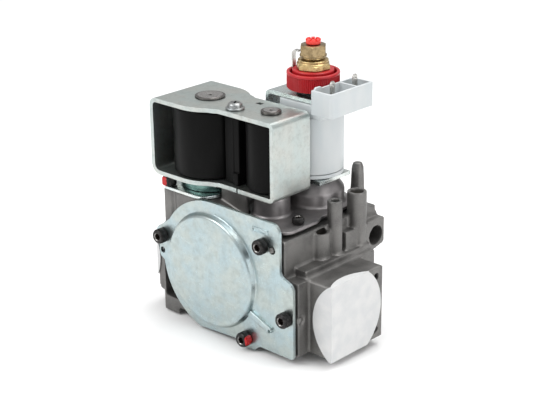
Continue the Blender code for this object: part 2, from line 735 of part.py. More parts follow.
def coil(name, at, bore, radius):
    """Moulded coil, flat where it would meet the end walls of the yoke."""
    edge = 1.4
    profile = (
        (bore, COIL_BOTTOM), (radius - edge, COIL_BOTTOM), (radius, COIL_BOTTOM + edge),
        (radius, COIL_TOP - edge), (radius - edge, COIL_TOP), (bore, COIL_TOP),
    )
    moulding = turned(name, profile, (*at, 0), segments=36)
    wall = YOKE_RIGHT - YOKE_SHEET - GAP
    return done(cut(moulding, block("flat", (wall, wall + 10), (-40, 20), (60, 120))), "black_plastic")


def coil_terminal_block():
    """Web between the coils and the socket behind them."""
    left = EV1[0] + EV1_COIL_RADIUS + GAP
    right = EV2[0] - EV2_COIL_RADIUS - GAP
    web = block("coil_terminal_block", (left, right), (-19.5, 4.4), (COIL_BOTTOM, COIL_TOP))
    foot = block("foot", (left, right), (-20.6, -18.0), (COIL_BOTTOM, 81.0))
    arm = block("arm", (-12.0, BRACKET_LEFT - GAP), (0.0, 10.0), (82.0, 96.0))
    head = block("head", (-25.0, -9.0), (9.0, 21.0), (80.0, 98.0))
    fuse(web, foot, arm, head)
    cut(web, block("socket", (-23.4, -10.6), (12.0, 22.0), (82.0, 96.0)))
    cut(web, rod("screw_hole", (*YOKE_SCREW, 0), 1.8, 98.0, 110, segments=12))
    for x in TERMINAL_X:
        cut(web, block("pin_slot", (x - 0.7, x + 0.7), (10.0, 13.0), (86.3, 91.7)))
    return done(web, "black_plastic")


def coil_terminals():
    for index, x in enumerate(TERMINAL_X, 1):
        pin = block(f"coil_terminal_{index}", (x - 0.4, x + 0.4), (10.4, 19.5), (86.6, 91.4))
        done(pin, "brass")


def yoke():
    """Sheet band round both coils: wide and round at EV1, narrow at EV2, butt joint below."""
    corner = 4.0
    outer = rounded(
        (
            (YOKE_LEFT, YOKE_BOTTOM, corner + 1), (YOKE_RIGHT, YOKE_BOTTOM, 2.6),
            (YOKE_RIGHT, YOKE_TOP, 2.6), (YOKE_LEFT, YOKE_TOP, corner),
        )
    )
    t = YOKE_SHEET
    inner = rounded(
        (
            (YOKE_LEFT + t, YOKE_BOTTOM + t, corner - 1), (YOKE_RIGHT - t, YOKE_BOTTOM + t, 0.5),
            (YOKE_RIGHT - t, YOKE_TOP - t, 0.5), (YOKE_LEFT + t, YOKE_TOP - t, corner - t),
        )
    )
    mid = EV1[1]
    band = plate("yoke", outer, "y", mid - YOKE_WIDE, mid + YOKE_WIDE)
    cut(band, plate("hollow", inner, "y", mid - 40, mid + 40))
    for sign in (-1, 1):
        start = math.degrees(math.asin(YOKE_NARROW / YOKE_WIDE))
        edge = arc(EV1, YOKE_WIDE, sign * 90, sign * start, 10)
        past = YOKE_RIGHT + 5
        outline = [*edge, Vector((past, mid + sign * YOKE_NARROW)), Vector((past, mid + sign * 30))]
        outline.append(Vector((EV1[0], mid + sign * 30)))
        cut(band, plate("side", outline, "z", YOKE_BOTTOM - 5, YOKE_TOP + 5))
    cut(
        band,
        rod("hole", (*EV1, 0), 5.1, 100, 110, segments=20),
        rod("hole", (*EV2, 0), 3.1, 100, 110, segments=16),
        rod("hole", (*EV1, 0), 8.3, 65, 75, segments=24),
        rod("hole", (*EV2, 0), 5.6, 65, 75, segments=20),
        rod("hole", (*YOKE_SCREW, 0), 2.0, 100, 110, segments=12),
        block("slot", (-4.4, -1.0), (-5.2, -2.6), (100, 110)),
        block("joint", (0.2, 0.8), (-40, 20), (65, 75)),
    )
    return done(band, "zinc")


def yoke_screw():
    """Cross-recess pan screw with a captive washer, into the terminal block."""
    top = YOKE_TOP + GAP
    profile = (
        (0, top - 5.4), (1.6, top - 5.4), (1.6, top), (4.3, top), (4.3, top + 0.8), (3.4, top + 0.8),
        (3.2, top + 2.2), (2.0, top + 2.9), (0, top + 3.0),
    )
    screw = turned("yoke_screw", profile, (*YOKE_SCREW, 0), segments=18)
    x, y = YOKE_SCREW
    for dx, dy in ((1.7, 0.35), (0.35, 1.7)):
        cut(screw, block("cross", (x - dx, x + dx), (y - dy, y + dy), (top + 1.6, top + 4)))
    return done(screw, "zinc")


# ---------------------------------------------------------------- modulator


def modulator_bracket():
    """C-shaped sheet: bottom plate, wall on the inlet side, top plate."""
    x, y = MODULATOR
    t = BRACKET_SHEET
    outer = rounded(
        (
            (BRACKET_LEFT, BRACKET_BOTTOM, 2.4), (BRACKET_RIGHT, BRACKET_BOTTOM, 0),
            (BRACKET_RIGHT, BRACKET_TOP, 0), (BRACKET_LEFT, BRACKET_TOP, 2.4),
        )
    )
    bracket = plate("modulator_bracket", outer, "y", y - BRACKET_HALF_Y, y + BRACKET_HALF_Y)
    inner = rounded(
        (
            (BRACKET_LEFT + t, BRACKET_BOTTOM + t, 0.8), (BRACKET_RIGHT + 5, BRACKET_BOTTOM + t, 0),
            (BRACKET_RIGHT + 5, BRACKET_TOP - t, 0), (BRACKET_LEFT + t, BRACKET_TOP - t, 0.8),
        )
    )
    cut(
        bracket,
        plate("hollow", inner, "y", y - 30, y + 30),
        block("box_clearance", (BOX_X[0] - GAP, 40), (-20, 40), (BRACKET_TOP - 5, BRACKET_TOP + 5)),
        rod("hole", (x, y, 0), 6.6, 60, 120, segments=24),
    )
    return done(bracket, "zinc")


def modulator_guide_tube():
    profile = ((5.2, 70.2), (6.2, 70.2), (6.2, 115.0), (5.2, 115.0))
    tube_profile = ((5.2, 66.2), (8.6, 66.2), (8.6, 67.4), (6.2, 68.2)) + profile[2:]
    return done(turned("modulator_guide_tube", tube_profile, (*MODULATOR, 0), segments=24), "steel")


def modulator_bobbin():
    """Spool with a square top flange that carries the open connector box."""
    x, y = MODULATOR
    low = BRACKET_BOTTOM + BRACKET_SHEET + GAP
    top = BRACKET_TOP - BRACKET_SHEET - GAP
    flange_low = top - 6.0
    bobbin = tube("modulator_bobbin", (x, y, 0), 6.6, 8.0, low, top, segments=24)
    fuse(bobbin, tube("bottom", (x, y, 0), 6.6, SLEEVE_RADIUS, low, low + 1.6, segments=36))
    left, right, front, back = 1.6, BOX_X[0] + 1, y - 11.6, y + 11.0
    corners = ((left, front, 1.5), (right, front, 0), (right, back, 0), (left, back, 1.5))
    flange = plate("flange", rounded(corners), "z", flange_low, top)
    cut(flange, rod("bore", (x, y, 0), 6.6, flange_low - 1, top + 1, segments=24))
    fuse(bobbin, flange)
    (left, right), (front, back) = BOX_X, BOX_Y
    corners = ((left, front, 0.6), (right, front, 1.6), (right, back, 1.0), (left, back, 0.6))
    fuse(bobbin, plate("box", rounded(corners), "z", *BOX_Z))
    wall = 1.2
    middle = front + 0.62 * (back - front)
    for start, end in ((front + wall, middle), (middle + wall, back - wall)):
        cut(bobbin, block("well", (left + wall, right - wall), (start, end), (BOX_Z[0] + 1.4, BOX_Z[1] + 1)))
    for y_tab in TAB_Y:
        cut(bobbin, block("tab_slot", (30.5, 31.9), (y_tab - 1.75, y_tab + 1.75), (107.1, 108.6)))
    return done(bobbin, "white_plastic")


def modulator_terminals():
    for index, y in enumerate(TAB_Y, 1):
        outline = ((y - 1.4, 107.4), (y + 1.4, 107.4), (y + 1.4, 120.2))
        outline += ((y + 0.7, 121.0), (y - 0.7, 121.0), (y - 1.4, 120.2))
        tab = plate(f"modulator_terminal_{index}", outline, "x", 30.8, 31.6)
        cut(tab, rod("hole", (0, y, 119.0), 0.6, 30, 33, (1, 0, 0), 8))
        done(tab, "steel")


def modulator_winding():
    low = BRACKET_BOTTOM + BRACKET_SHEET + GAP + 1.6 + GAP
    top = BRACKET_TOP - BRACKET_SHEET - GAP - 6.0 - GAP
    return done(tube("modulator_winding", (*MODULATOR, 0), 8.3, 12.2, low, top, segments=28), "copper")


def modulator_sleeve():
    low = BRACKET_BOTTOM + BRACKET_SHEET + GAP + 1.6 + GAP
    top = BRACKET_TOP - BRACKET_SHEET - GAP - 6.0 - GAP
    sleeve = tube("modulator_sleeve", (*MODULATOR, 0), 12.5, SLEEVE_RADIUS, low, top, segments=40)
    return done(sleeve, "white_plastic")


def modulator_ring():
    """Ribbed retaining ring with a recess and an inner hub under the brass adjuster."""
    low, top = RING_Z
    outer, inner = RING_RADIUS, RING_RADIUS - 1.5
    profile = (
        (6.7, low), (outer, low), (outer, top), (inner, top), (inner, low + 2.0),
        (9.4, low + 2.0), (9.4, HUB_TOP), (6.7, HUB_TOP),
    )
    return done(turned("modulator_ring", profile, (*MODULATOR, 0), segments=40), "red_plastic")


def adjuster_body():
    """Brass body: collar on the bracket, hexagon foot on the ring, round threaded top."""
    x, y = MODULATOR
    foot = HUB_TOP + GAP
    profile = (
        (4.0, 116.0), (6.3, 116.0), (6.3, foot), (6.9, foot), (6.9, foot + 3.6), (6.6, foot + 4.4),
        (4.7, foot + 4.6), (4.7, foot + 5.0), (4.0, foot + 5.0),
    )
    body = turned("adjuster_body", profile, (x, y, 0), segments=24)
    sides = ((0, foot), (8.0, foot), (8.0, foot + 1.6), (7.0, foot + 3.0), (0, foot + 3.0))
    hexagon = turned("hexagon", sides, (x, y, 0), segments=6, phase=math.radians(20))
    cut(hexagon, rod("bore", (x, y, 0), 5.0, foot - 1, foot + 4, segments=24))
    return done(fuse(body, hexagon), "brass")


def adjuster_collar():
    """Plain spacer between the bracket and the ring."""
    low, top = BRACKET_TOP + GAP, RING_Z[0] - GAP
    return done(tube("adjuster_collar", (*MODULATOR, 0), 6.6, 7.6, low, top, segments=28), "steel")


def max_pressure_nut():
    """Hexagon sleeve that loads the range spring: turning it sets the maximum pressure."""
    x, y = MODULATOR
    low, top = NUT_LOW, NUT_TOP
    profile = ((0, low), (5.8, low), (6.3, low + 0.6), (6.3, top - 0.7), (5.5, top), (0, top))
    nut = turned("max_pressure_nut", profile, (x, y, 0), segments=6, phase=math.radians(8))
    fuse(nut, rod("collar", (x, y, 0), 6.1, low + 0.2, low + 1.0, segments=24))
    cut(nut, rod("bore", (x, y, 0), 2.3, low - 1.0, top + 1, segments=16))
    return done(nut, "brass")


def min_pressure_screw():
    """Castellated screw in the nut: turning it sets the minimum pressure."""
    x, y = MODULATOR
    top = NUT_TOP + 2.6
    low = NUT_LOW + GAP
    profile = ((0, low), (1.9, low), (1.9, NUT_TOP + GAP), (3.4, NUT_TOP + GAP), (3.4, top), (0, top))
    screw = turned("min_pressure_screw", profile, (x, y, 0), segments=18)
    cut(screw, rod("socket", (x, y, 0), 1.7, top - 1.5, top + 1, segments=12))
    for index in range(4):
        angle = math.radians(20 + 45 * index)
        notch = block("notch", (-5, 5), (-0.45, 0.45), (top - 0.9, top + 1))
        notch.matrix_world = Matrix.Translation((x * MM, y * MM, 0)) @ Matrix.Rotation(angle, 4, "Z")
        cut(screw, notch)
    return done(screw, "red_plastic")


def adjuster_clip():
    """Thin earth strip that stands behind the brass body and hooks over it."""
    low = RING_Z[0] + 2.3
    high = NUT_LOW + 0.4
    outline = ((-9.9, low), (-9.6, low), (-9.6, high), (-8.9, high + 0.9), (-6.6, high + 0.9))
    outline += ((-6.6, high + 1.4), (-9.3, high + 1.4), (-10.2, high + 0.4))
    outline += ((-10.2, low + 4.0), (-9.9, low + 3.6))
    clip = plate("adjuster_clip", outline, "y", -1.5, 1.5)
    at = Matrix.Translation((MODULATOR[0] * MM, MODULATOR[1] * MM, 0))
    clip.matrix_world = at @ Matrix.Rotation(math.radians(13), 4, "Z")
    return done(clip, "steel")


def modulator_armature():
    """Iron core that the coil moves, with the pin that loads the servo diaphragm."""
    profile = ((0, 59.4), (1.4, 59.4), (1.4, 84.0), (4.9, 84.0), (4.9, 104.0), (0, 104.0))
    return done(turned("modulator_armature", profile, (*MODULATOR, 0), segments=16), "steel")


def servo_diaphragm():
    """Small diaphragm of the pressure regulator under the modulator."""
    low = SERVO_PLATE[0] + 0.6
    profile = (
        (0, low - 3.6), (3.4, low - 3.6), (3.4, low - 0.4), (9.2, low - 0.4), (9.9, low + 1.0),
        (10.9, low + 1.0), (11.6, low - 0.4), (12.5, low - 0.4), (12.5, low + 0.4), (11.9, low + 0.4),
        (11.2, low + 1.7), (9.6, low + 1.7), (8.9, low + 0.4), (0, low + 0.4),
    )
    return done(turned("servo_diaphragm", profile, (*MODULATOR, 0), segments=24), "rubber")


def range_spring_seat():
    """Plunger between the nut and the range spring, sliding in the brass body."""
    low, top = SPRING_SEAT_LOW, NUT_LOW - GAP
    profile = ((0, low), (1.8, low), (1.8, low + 1.0), (3.6, low + 1.0), (3.6, top), (0, top))
    return done(turned("range_spring_seat", profile, (*MODULATOR, 0), segments=16), "brass")


def springs():
    helix("ev1_spring", (*EV1, 0), 4.4, 0.35, 78.2, 87.9, 4)
    helix("ev2_spring", (*EV2, 0), 1.1, 0.25, 82.2, 89.1, 4)
    helix("main_valve_spring", (DOME_X, 0, DOME_Z), 4.6, 0.4, 11.8, 20.8, 4, (0, 1, 0))
    helix("range_spring", (*MODULATOR, 0), 2.8, 0.35, 104.4, SPRING_SEAT_LOW + 0.7, 4)


def test_screws():
    """Sealing screws in the two pressure test nozzles."""
    for name, x, y, radius, _, top in NOZZLES:
        if name == "vent":
            continue
        bore = radius - 1.5
        radius = bore - 0.15
        profile = ((0, top - 8.6), (1.2, top - 8.6), (radius, top - 6.4), (radius, top - 2.6), (0, top - 2.6))
        screw = turned(f"{name}_test_screw", profile, (x, y, 0), segments=16)
        slot = block("slot", (x - 4, x + 4), (y - 0.4, y + 0.4), (top - 3.6, top))
        done(cut(screw, slot), "brass")


def base_screws():
    for index, (x, y) in enumerate(BASE_SCREWS, 1):
        low = TOWER_TOP + GAP + 1.4 + GAP
        cap_screw(f"ev1_base_screw_{index}", (x, y, low), (0, 0, 1), 3.4, 3.8, 8.0, BASE_TAP_RADIUS)


def main():
    clear_scene()
    valve_body()
    inlet_filter()
    port_seal("inlet_port_seal", -1, 2.7, 1.5)
    port_seal("outlet_port_seal", 1, -6.1, 0.0)
    main_cover()
    main_cover_gasket()
    main_diaphragm()
    diaphragm_plate()
    main_valve_stem()
    cover_screws()
    servo_cover()
    servo_cover_gasket()
    servo_cover_screws()
    ev1_base_plate()
    base_screws()
    ev1_guide_tube()
    ev2_guide_tube()
    pole("ev1_pole", EV1, 6.9, EV1_PLUNGER_TOP + EV1_STROKE + COIL_CLEARANCE, 4.9, 7.0, 1.0)
    pole("ev2_pole", EV2, 4.3, EV2_PLUNGER_TOP + EV2_STROKE + COIL_CLEARANCE, 2.9, 4.6, 1.5)
    ev1_plunger()
    ev1_valve_disc()
    ev2_plunger()
    coil("ev1_coil", EV1, 8.2, EV1_COIL_RADIUS)
    coil("ev2_coil", EV2, 5.5, EV2_COIL_RADIUS)
    coil_terminal_block()
    coil_terminals()
    yoke()
    yoke_screw()
    modulator_bracket()
    modulator_guide_tube()
    modulator_bobbin()
    modulator_terminals()
    modulator_winding()
    modulator_sleeve()
    modulator_ring()
    adjuster_collar()
    adjuster_body()
    max_pressure_nut()
    min_pressure_screw()
    adjuster_clip()
    modulator_armature()
    servo_diaphragm()
    range_spring_seat()
    springs()
    test_screws()


main()
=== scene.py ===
"""Looks of a boiler gas valve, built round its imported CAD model.

Frame of the part: +X is the gas flow, -Y is the side of the round cover, +Z is up.
Lengths are in millimetres unless a name or a comment says otherwise; meshes are made in metres.
"""

import math

import bmesh
import bpy
from mathutils import Matrix, Vector


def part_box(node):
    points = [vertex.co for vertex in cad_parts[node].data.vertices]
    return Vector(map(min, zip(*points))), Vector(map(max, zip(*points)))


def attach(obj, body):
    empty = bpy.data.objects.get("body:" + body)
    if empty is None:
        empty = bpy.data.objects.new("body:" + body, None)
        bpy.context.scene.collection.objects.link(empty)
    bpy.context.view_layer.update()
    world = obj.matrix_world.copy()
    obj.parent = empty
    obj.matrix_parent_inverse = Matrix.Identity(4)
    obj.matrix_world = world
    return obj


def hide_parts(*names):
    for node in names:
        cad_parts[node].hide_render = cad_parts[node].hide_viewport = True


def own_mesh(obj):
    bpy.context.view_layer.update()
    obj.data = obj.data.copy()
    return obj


MM = 0.001
WELD = 0.002  # points nearer than this are one point after a Boolean
SMOOTH_ANGLE = math.radians(35)
UP = (0, 0, 1)
FRONT = (0, -1, 0)

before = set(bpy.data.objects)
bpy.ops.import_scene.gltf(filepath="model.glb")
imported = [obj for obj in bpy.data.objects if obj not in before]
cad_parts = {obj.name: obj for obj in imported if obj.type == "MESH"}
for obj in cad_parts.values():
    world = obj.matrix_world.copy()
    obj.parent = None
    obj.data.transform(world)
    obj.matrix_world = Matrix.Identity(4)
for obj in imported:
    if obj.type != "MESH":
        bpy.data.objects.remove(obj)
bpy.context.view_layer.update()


def corners(node):
    """Lowest and highest corner of a CAD node, in millimetres."""
    low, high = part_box(node)
    return low / MM, high / MM


def axis_of(node):
    """Point at z = 0 on the upright axis through the middle of a CAD node."""
    low, high = corners(node)
    return (low.x + high.x) / 2, (low.y + high.y) / 2, 0


EV1 = axis_of("ev1_coil")
EV2 = axis_of("ev2_pole")
MODULATOR = axis_of("modulator_ring")
BODY = corners("valve_body")
PLATE = corners("servo_cover")
YOKE = corners("yoke")
BRACKET = corners("modulator_bracket")
BOBBIN = corners("modulator_bobbin")


# ---- mesh helpers


def new_object(name, bm):
    """Object in metres from a bmesh in millimetres, which it frees."""
    bmesh.ops.remove_doubles(bm, verts=bm.verts, dist=1e-4)
    bmesh.ops.recalc_face_normals(bm, faces=bm.faces)
    bmesh.ops.scale(bm, vec=(MM, MM, MM), verts=bm.verts)
    mesh = bpy.data.meshes.new(name)
    bm.to_mesh(mesh)
    bm.free()
    obj = bpy.data.objects.new(name, mesh)
    bpy.context.scene.collection.objects.link(obj)
    return obj


def soften(bm, width):
    """Rounds every sharp edge of a bmesh in millimetres."""
    if width:
        sharp = [edge for edge in bm.edges if edge.calc_face_angle(0) > SMOOTH_ANGLE]
        bmesh.ops.bevel(
            bm, geom=sharp, offset=width, segments=3, profile=0.5, affect="EDGES", clamp_overlap=True
        )


def bake_modifiers(obj):
    graph = bpy.context.evaluated_depsgraph_get()
    mesh = bpy.data.meshes.new_from_object(obj.evaluated_get(graph))
    obj.modifiers.clear()
    obj.data = mesh


def boolean(target, tool, operation):
    """Applies an exact Boolean, removes the tool and cleans the seams."""
    modifier = target.modifiers.new(operation.lower(), "BOOLEAN")
    modifier.operation = operation
    modifier.solver = "EXACT"
    modifier.object = tool
    bake_modifiers(target)
    bm = bmesh.new()
    bm.from_mesh(target.data)
    bmesh.ops.remove_doubles(bm, verts=bm.verts, dist=WELD * MM)
    bmesh.ops.dissolve_degenerate(bm, edges=bm.edges, dist=WELD * MM)
    bm.to_mesh(target.data)
    bm.free()
    bpy.data.objects.remove(tool, do_unlink=True)


def fuse(target, *tools):
    for tool in tools:
        boolean(target, tool, "UNION")
    return target


def cut(target, *tools):
    for tool in tools:
        boolean(target, tool, "DIFFERENCE")
    return target


def axis_matrix(axis):
    """Rotation that carries +Z onto the axis."""
    return Vector(UP).rotation_difference(Vector(axis)).to_matrix().to_4x4()


def block(name, x, y, z, edge=0.0):
    bm = bmesh.new()
    bmesh.ops.create_cube(bm, size=1.0)
    bmesh.ops.scale(bm, vec=(x[1] - x[0], y[1] - y[0], z[1] - z[0]), verts=bm.verts)
    bmesh.ops.translate(bm, vec=((x[0] + x[1]) / 2, (y[0] + y[1]) / 2, (z[0] + z[1]) / 2), verts=bm.verts)
    soften(bm, edge)
    return new_object(name, bm)


def turned(name, profile, at, axis=UP, segments=64, steps=6, phase=0.0, ribs=None):
    """Solid of revolution through (radius, height) points: open at radius 0, or else a closed loop.

    A third number rounds that corner, in the given steps. ribs is (depth, low, high): every second point
    of the rings between those heights sinks by that depth.
    """
    profile = rounded(profile, steps)
    bm = bmesh.new()
    rings = []
    for radius, height in profile:
        if radius <= 0:
            continue
        ring = []
        for i in range(segments):
            angle = phase + 2 * math.pi * i / segments
            ribbed = ribs and i % 2 and ribs[1] <= height <= ribs[2]
            reach = radius - ribs[0] if ribbed else radius
            ring.append(bm.verts.new((reach * math.cos(angle), reach * math.sin(angle), height)))
        rings.append(ring)
    solid = len(rings) < len(profile)
    if solid:
        bm.faces.new(rings[0])
        bm.faces.new(rings[-1])
    following = rings[1:] if solid else rings[1:] + rings[:1]
    for first, second in zip(rings, following):
        for i in range(segments):
            j = (i + 1) % segments
            bm.faces.new((first[i], first[j], second[j], second[i]))
    bmesh.ops.transform(bm, matrix=Matrix.Translation(at) @ axis_matrix(axis), verts=bm.verts)
    return new_object(name, bm)


def rod(name, at, radius, start, end, axis=UP, segments=32):
    return turned(name, ((0, start), (radius, start), (radius, end), (0, end)), at, axis, segments)


def tube(name, at, inner, outer, start, end, axis=UP, segments=64):
    return turned(name, ((outer, start), (outer, end), (inner, end), (inner, start)), at, axis, segments)


def upright_holes(nodes, count, radius, start, end):
    """Holes on the axes of the upright CAD nodes nodes_1, nodes_2 and so on."""
    places = [axis_of(f"{nodes}_{index}") for index in range(1, count + 1)]
    return [rod("hole", place, radius, start, end) for place in places]


def front_rod(place, radius, start, end, segments=32):
    """Pin or hole along Y at (x, z), from start to end in front of the XZ plane."""
    return rod("rod", (place[0], 0, place[1]), radius, start, end, FRONT, segments)


def cover_screw_holes(radius, start, end, segments=32):
    holes = []
    for index in range(1, 5):
        low, high = corners(f"cover_screw_{index}")
        middle = (low + high) / 2
        holes.append(front_rod((middle.x, middle.z), radius, start, end, segments))
    return holes


def rounded(points, steps=6):
    """Outline through (u, v) or (u, v, radius) corners, each rounded by an arc of its radius."""
    if all(len(point) == 2 for point in points):
        return points
    found = []
    count = len(points)
    for index, point in enumerate(points):
        here = Vector(point[:2])
        radius = point[2] if len(point) > 2 else 0
        if radius == 0:
            found.append(here)
            continue
        before = (Vector(points[index - 1][:2]) - here).normalized()
        after = (Vector(points[(index + 1) % count][:2]) - here).normalized()
        half = before.angle(after) / 2
        centre = here + (before + after).normalized() * radius / math.sin(half)
        first = here + before * radius / math.tan(half) - centre
        sweep = first.angle_signed(here + after * radius / math.tan(half) - centre)
        for step in range(steps + 1):
            found.append(centre + Matrix.Rotation(-sweep * step / steps, 2) @ first)
    return found


def arc(centre, radius, start, end, steps):
    """Points on a circle from the start angle to the end angle, in degrees."""
    found = []
    for step in range(steps + 1):
        angle = math.radians(start + (end - start) * step / steps)
        found.append(Vector((centre[0] + radius * math.cos(angle), centre[1] + radius * math.sin(angle))))
    return found


def rectangle(u, v, radii=(0, 0, 0, 0), steps=6):
    """Rectangle over the ranges u and v. The radii go round from the lowest corner, anticlockwise."""
    places = ((u[0], v[0]), (u[1], v[0]), (u[1], v[1]), (u[0], v[1]))
    return rounded([(*place, radius) for place, radius in zip(places, radii)], steps)


PLANES = {
    "x": lambda u, v, w: (w, u, v),
    "y": lambda u, v, w: (u, w, v),
    "z": lambda u, v, w: (u, v, w),
}


def plate(name, outline, axis, start, end, edge=0.0, steps=6):
    """Extrudes an outline along an axis. The outline is YZ for x, XZ for y and XY for z."""
    outline = rounded(outline, steps)
    place = PLANES[axis]
    bm = bmesh.new()
    bottom = [bm.verts.new(place(point[0], point[1], start)) for point in outline]
    top = [bm.verts.new(place(point[0], point[1], end)) for point in outline]
    bm.faces.new(bottom)
    bm.faces.new(top)
    for i in range(len(outline)):
        j = (i + 1) % len(outline)
        bm.faces.new((bottom[i], bottom[j], top[j], top[i]))
    bmesh.ops.recalc_face_normals(bm, faces=bm.faces)
    soften(bm, edge)
    return new_object(name, bm)


def show(obj, node, material, body="valve"):
    """Puts a finished mesh in the place of a CAD node."""
    obj.name = node + "_look"
    if material:
        obj.data.materials.clear()
        obj.data.materials.append(material)
        obj.data.polygons.foreach_set("material_index", [0] * len(obj.data.polygons))
    obj.data.shade_smooth()
    obj.data.set_sharp_from_angle(angle=SMOOTH_ANGLE)
    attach(obj, body)
    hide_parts(node)
    return obj


# ---- materials


EVEN = (1, 1, 1)


class Tree:
    """Short way to write a material's nodes."""

    def __init__(self, name):
        self.material = bpy.data.materials.new(name)
        self.material.use_nodes = True
        self.nodes = self.material.node_tree.nodes
        self.shader = self.nodes["Principled BSDF"]
        self.place = self.add("ShaderNodeTexCoord").outputs["Object"]

    def link(self, output, socket):
        self.material.node_tree.links.new(output, socket)

    def add(self, kind, settings=None, **inputs):
        """Adds a node. An input's value is a number, a colour or another node's output."""
        made = self.nodes.new(kind)
        for key, value in (settings or {}).items():
            setattr(made, key, value)
        for key, value in inputs.items():
            socket = made.inputs[int(key[1:])] if key[0] == "_" else made.inputs[key]
            if isinstance(value, bpy.types.NodeSocket):
                self.link(value, socket)
            else:
                socket.default_value = value
        return made

    def math(self, operation, *values):
        inputs = {f"_{index}": value for index, value in enumerate(values)}
        return self.add("ShaderNodeMath", {"operation": operation}, **inputs).outputs[0]

    def spread(self, value, low, high, start=0.0, end=1.0):
        """Maps a value from low..high onto start..end, smoothly."""
        settings = {"interpolation_type": "SMOOTHSTEP"}
        node = self.add("ShaderNodeMapRange", settings, _0=value, _1=low, _2=high, _3=start, _4=end)
        return node.outputs["Result"]

    def noise(self, size, stretch=EVEN, detail=3.0, roughness=0.5, shift=0.0):
        """Noise whose features are about size millimetres across, drawn out along each axis by stretch."""
        scale = [1 / (size * MM * factor) for factor in stretch]
        moved = self.add("ShaderNodeMapping", Vector=self.place, Scale=scale, Location=[shift] * 3)
        place = moved.outputs["Vector"]
        made = self.add("ShaderNodeTexNoise", Vector=place, Scale=1.0, Detail=detail, Roughness=roughness)
        return made.outputs["Fac"]

    def mix(self, factor, *colours):
        """Mixes two colours, each of them (red, green, blue) or another node's output."""
        first, second = [(*value, 1.0) if isinstance(value, tuple) else value for value in colours]
        return self.add("ShaderNodeMix", {"data_type": "RGBA"}, _0=factor, _6=first, _7=second).outputs[2]

    def finish(self, colour, roughness, height=None, depth=0.0, edge=0.2, **sockets):
        """Links colour and roughness, rounds the edges a little and adds the bump of height times depth."""
        self.link(colour, self.shader.inputs["Base Color"])
        self.link(roughness, self.shader.inputs["Roughness"])
        normal = None
        if edge:
            normal = self.add("ShaderNodeBevel", {"samples": 4}, Radius=edge * MM).outputs["Normal"]
        if height is not None:
            bump = self.add("ShaderNodeBump", Height=height, Distance=depth * MM)
            if normal:
                self.link(normal, bump.inputs["Normal"])
            normal = bump.outputs["Normal"]
        if normal:
            self.link(normal, self.shader.inputs["Normal"])
        for key, value in sockets.items():
            self.shader.inputs[key.replace("_", " ")].default_value = value
        return self.material


def cast_metal():
    """Shot-blasted die casting: grey, faintly mottled, brighter on worn edges that also carry a painted
    highlight, with painted shade in the hollows.
    """
    tree = Tree("cast_metal")
    blotch = tree.noise(9.0, detail=4.0)
    grain = tree.noise(0.35, detail=2.0, roughness=0.7)
    colour = tree.mix(tree.spread(blotch, 0.3, 0.7), (0.115, 0.112, 0.108), (0.19, 0.185, 0.178))
    colour = tree.mix(tree.spread(grain, 0.35, 0.8, 0.0, 0.35), colour, (0.30, 0.295, 0.285))
    pointiness = tree.add("ShaderNodeNewGeometry").outputs["Pointiness"]
    # Sharp edges (high pointiness) are brightened, partly as real wear and partly as a painted edge
    # highlight.
    wear_and_edge_highlight = tree.spread(pointiness, 0.53, 0.62, 0.0, 0.6)
    colour = tree.mix(wear_and_edge_highlight, colour, (0.42, 0.41, 0.40))
    # Painted shade: concave places (low pointiness) are darkened to stand in for the shade that gathers in
    # the hollows.
    hollow = tree.spread(pointiness, 0.40, 0.47, 0.55, 0.0)
    colour = tree.mix(hollow, colour, (0.05, 0.048, 0.046))
    roughness = tree.spread(blotch, 0.25, 0.75, 0.36, 0.52)
    return tree.finish(colour, roughness, grain, 0.035, 0.0, Metallic=0.75)


def zinc(name, cool, warm, roughness, scratch=0.5):
    """Bright zinc plate on sheet steel, with faint cool and warm clouds, scuffs and small specks."""
    tree = Tree(name)
    cloud = tree.noise(11.0, detail=5.0, roughness=0.6)
    streak = tree.noise(0.5, (1, 6, 1), detail=4.0, roughness=0.7)
    cross = tree.noise(0.6, (7, 1, 2), detail=3.0, roughness=0.7, shift=3.0)
    colour = tree.mix(tree.spread(cloud, 0.33, 0.67), cool, warm)
    dull = tree.spread(tree.noise(3.0, detail=6.0, roughness=0.7, shift=7.0), 0.40, 0.75, 0.0, 0.45)
    colour = tree.mix(dull, colour, tuple(0.62 * value for value in warm))
    specks = tree.spread(tree.noise(0.45, detail=2.0, shift=11.0), 0.69, 0.74, 0.0, 0.55)
    colour = tree.mix(specks, colour, (0.16, 0.15, 0.14))
    wear = tree.math("MULTIPLY", tree.math("ADD", streak, cross), 0.5)
    low, high = roughness
    rough = tree.spread(tree.math("ADD", wear, tree.math("MULTIPLY", dull, 0.3)), 0.35, 0.75, low, high)
    return tree.finish(colour, rough, wear, 0.012 * scratch, 0.25, Metallic=1.0)


def mottled(name, colours, roughness, cloud, fine, depth, edge=0.2, limits=(0.3, 0.7), **sockets):
    """Two colours mixed by a cloudy noise, with a fine noise for the roughness and the bump.

    cloud and fine are the settings of the two noises, and limits is the range of the cloud that is mixed.
    """
    tree = Tree(name)
    clouds = tree.noise(*cloud)
    grain = tree.noise(*fine)
    colour = tree.mix(tree.spread(clouds, *limits), *colours)
    return tree.finish(colour, tree.spread(grain, 0.3, 0.7, *roughness), grain, depth, edge, **sockets)


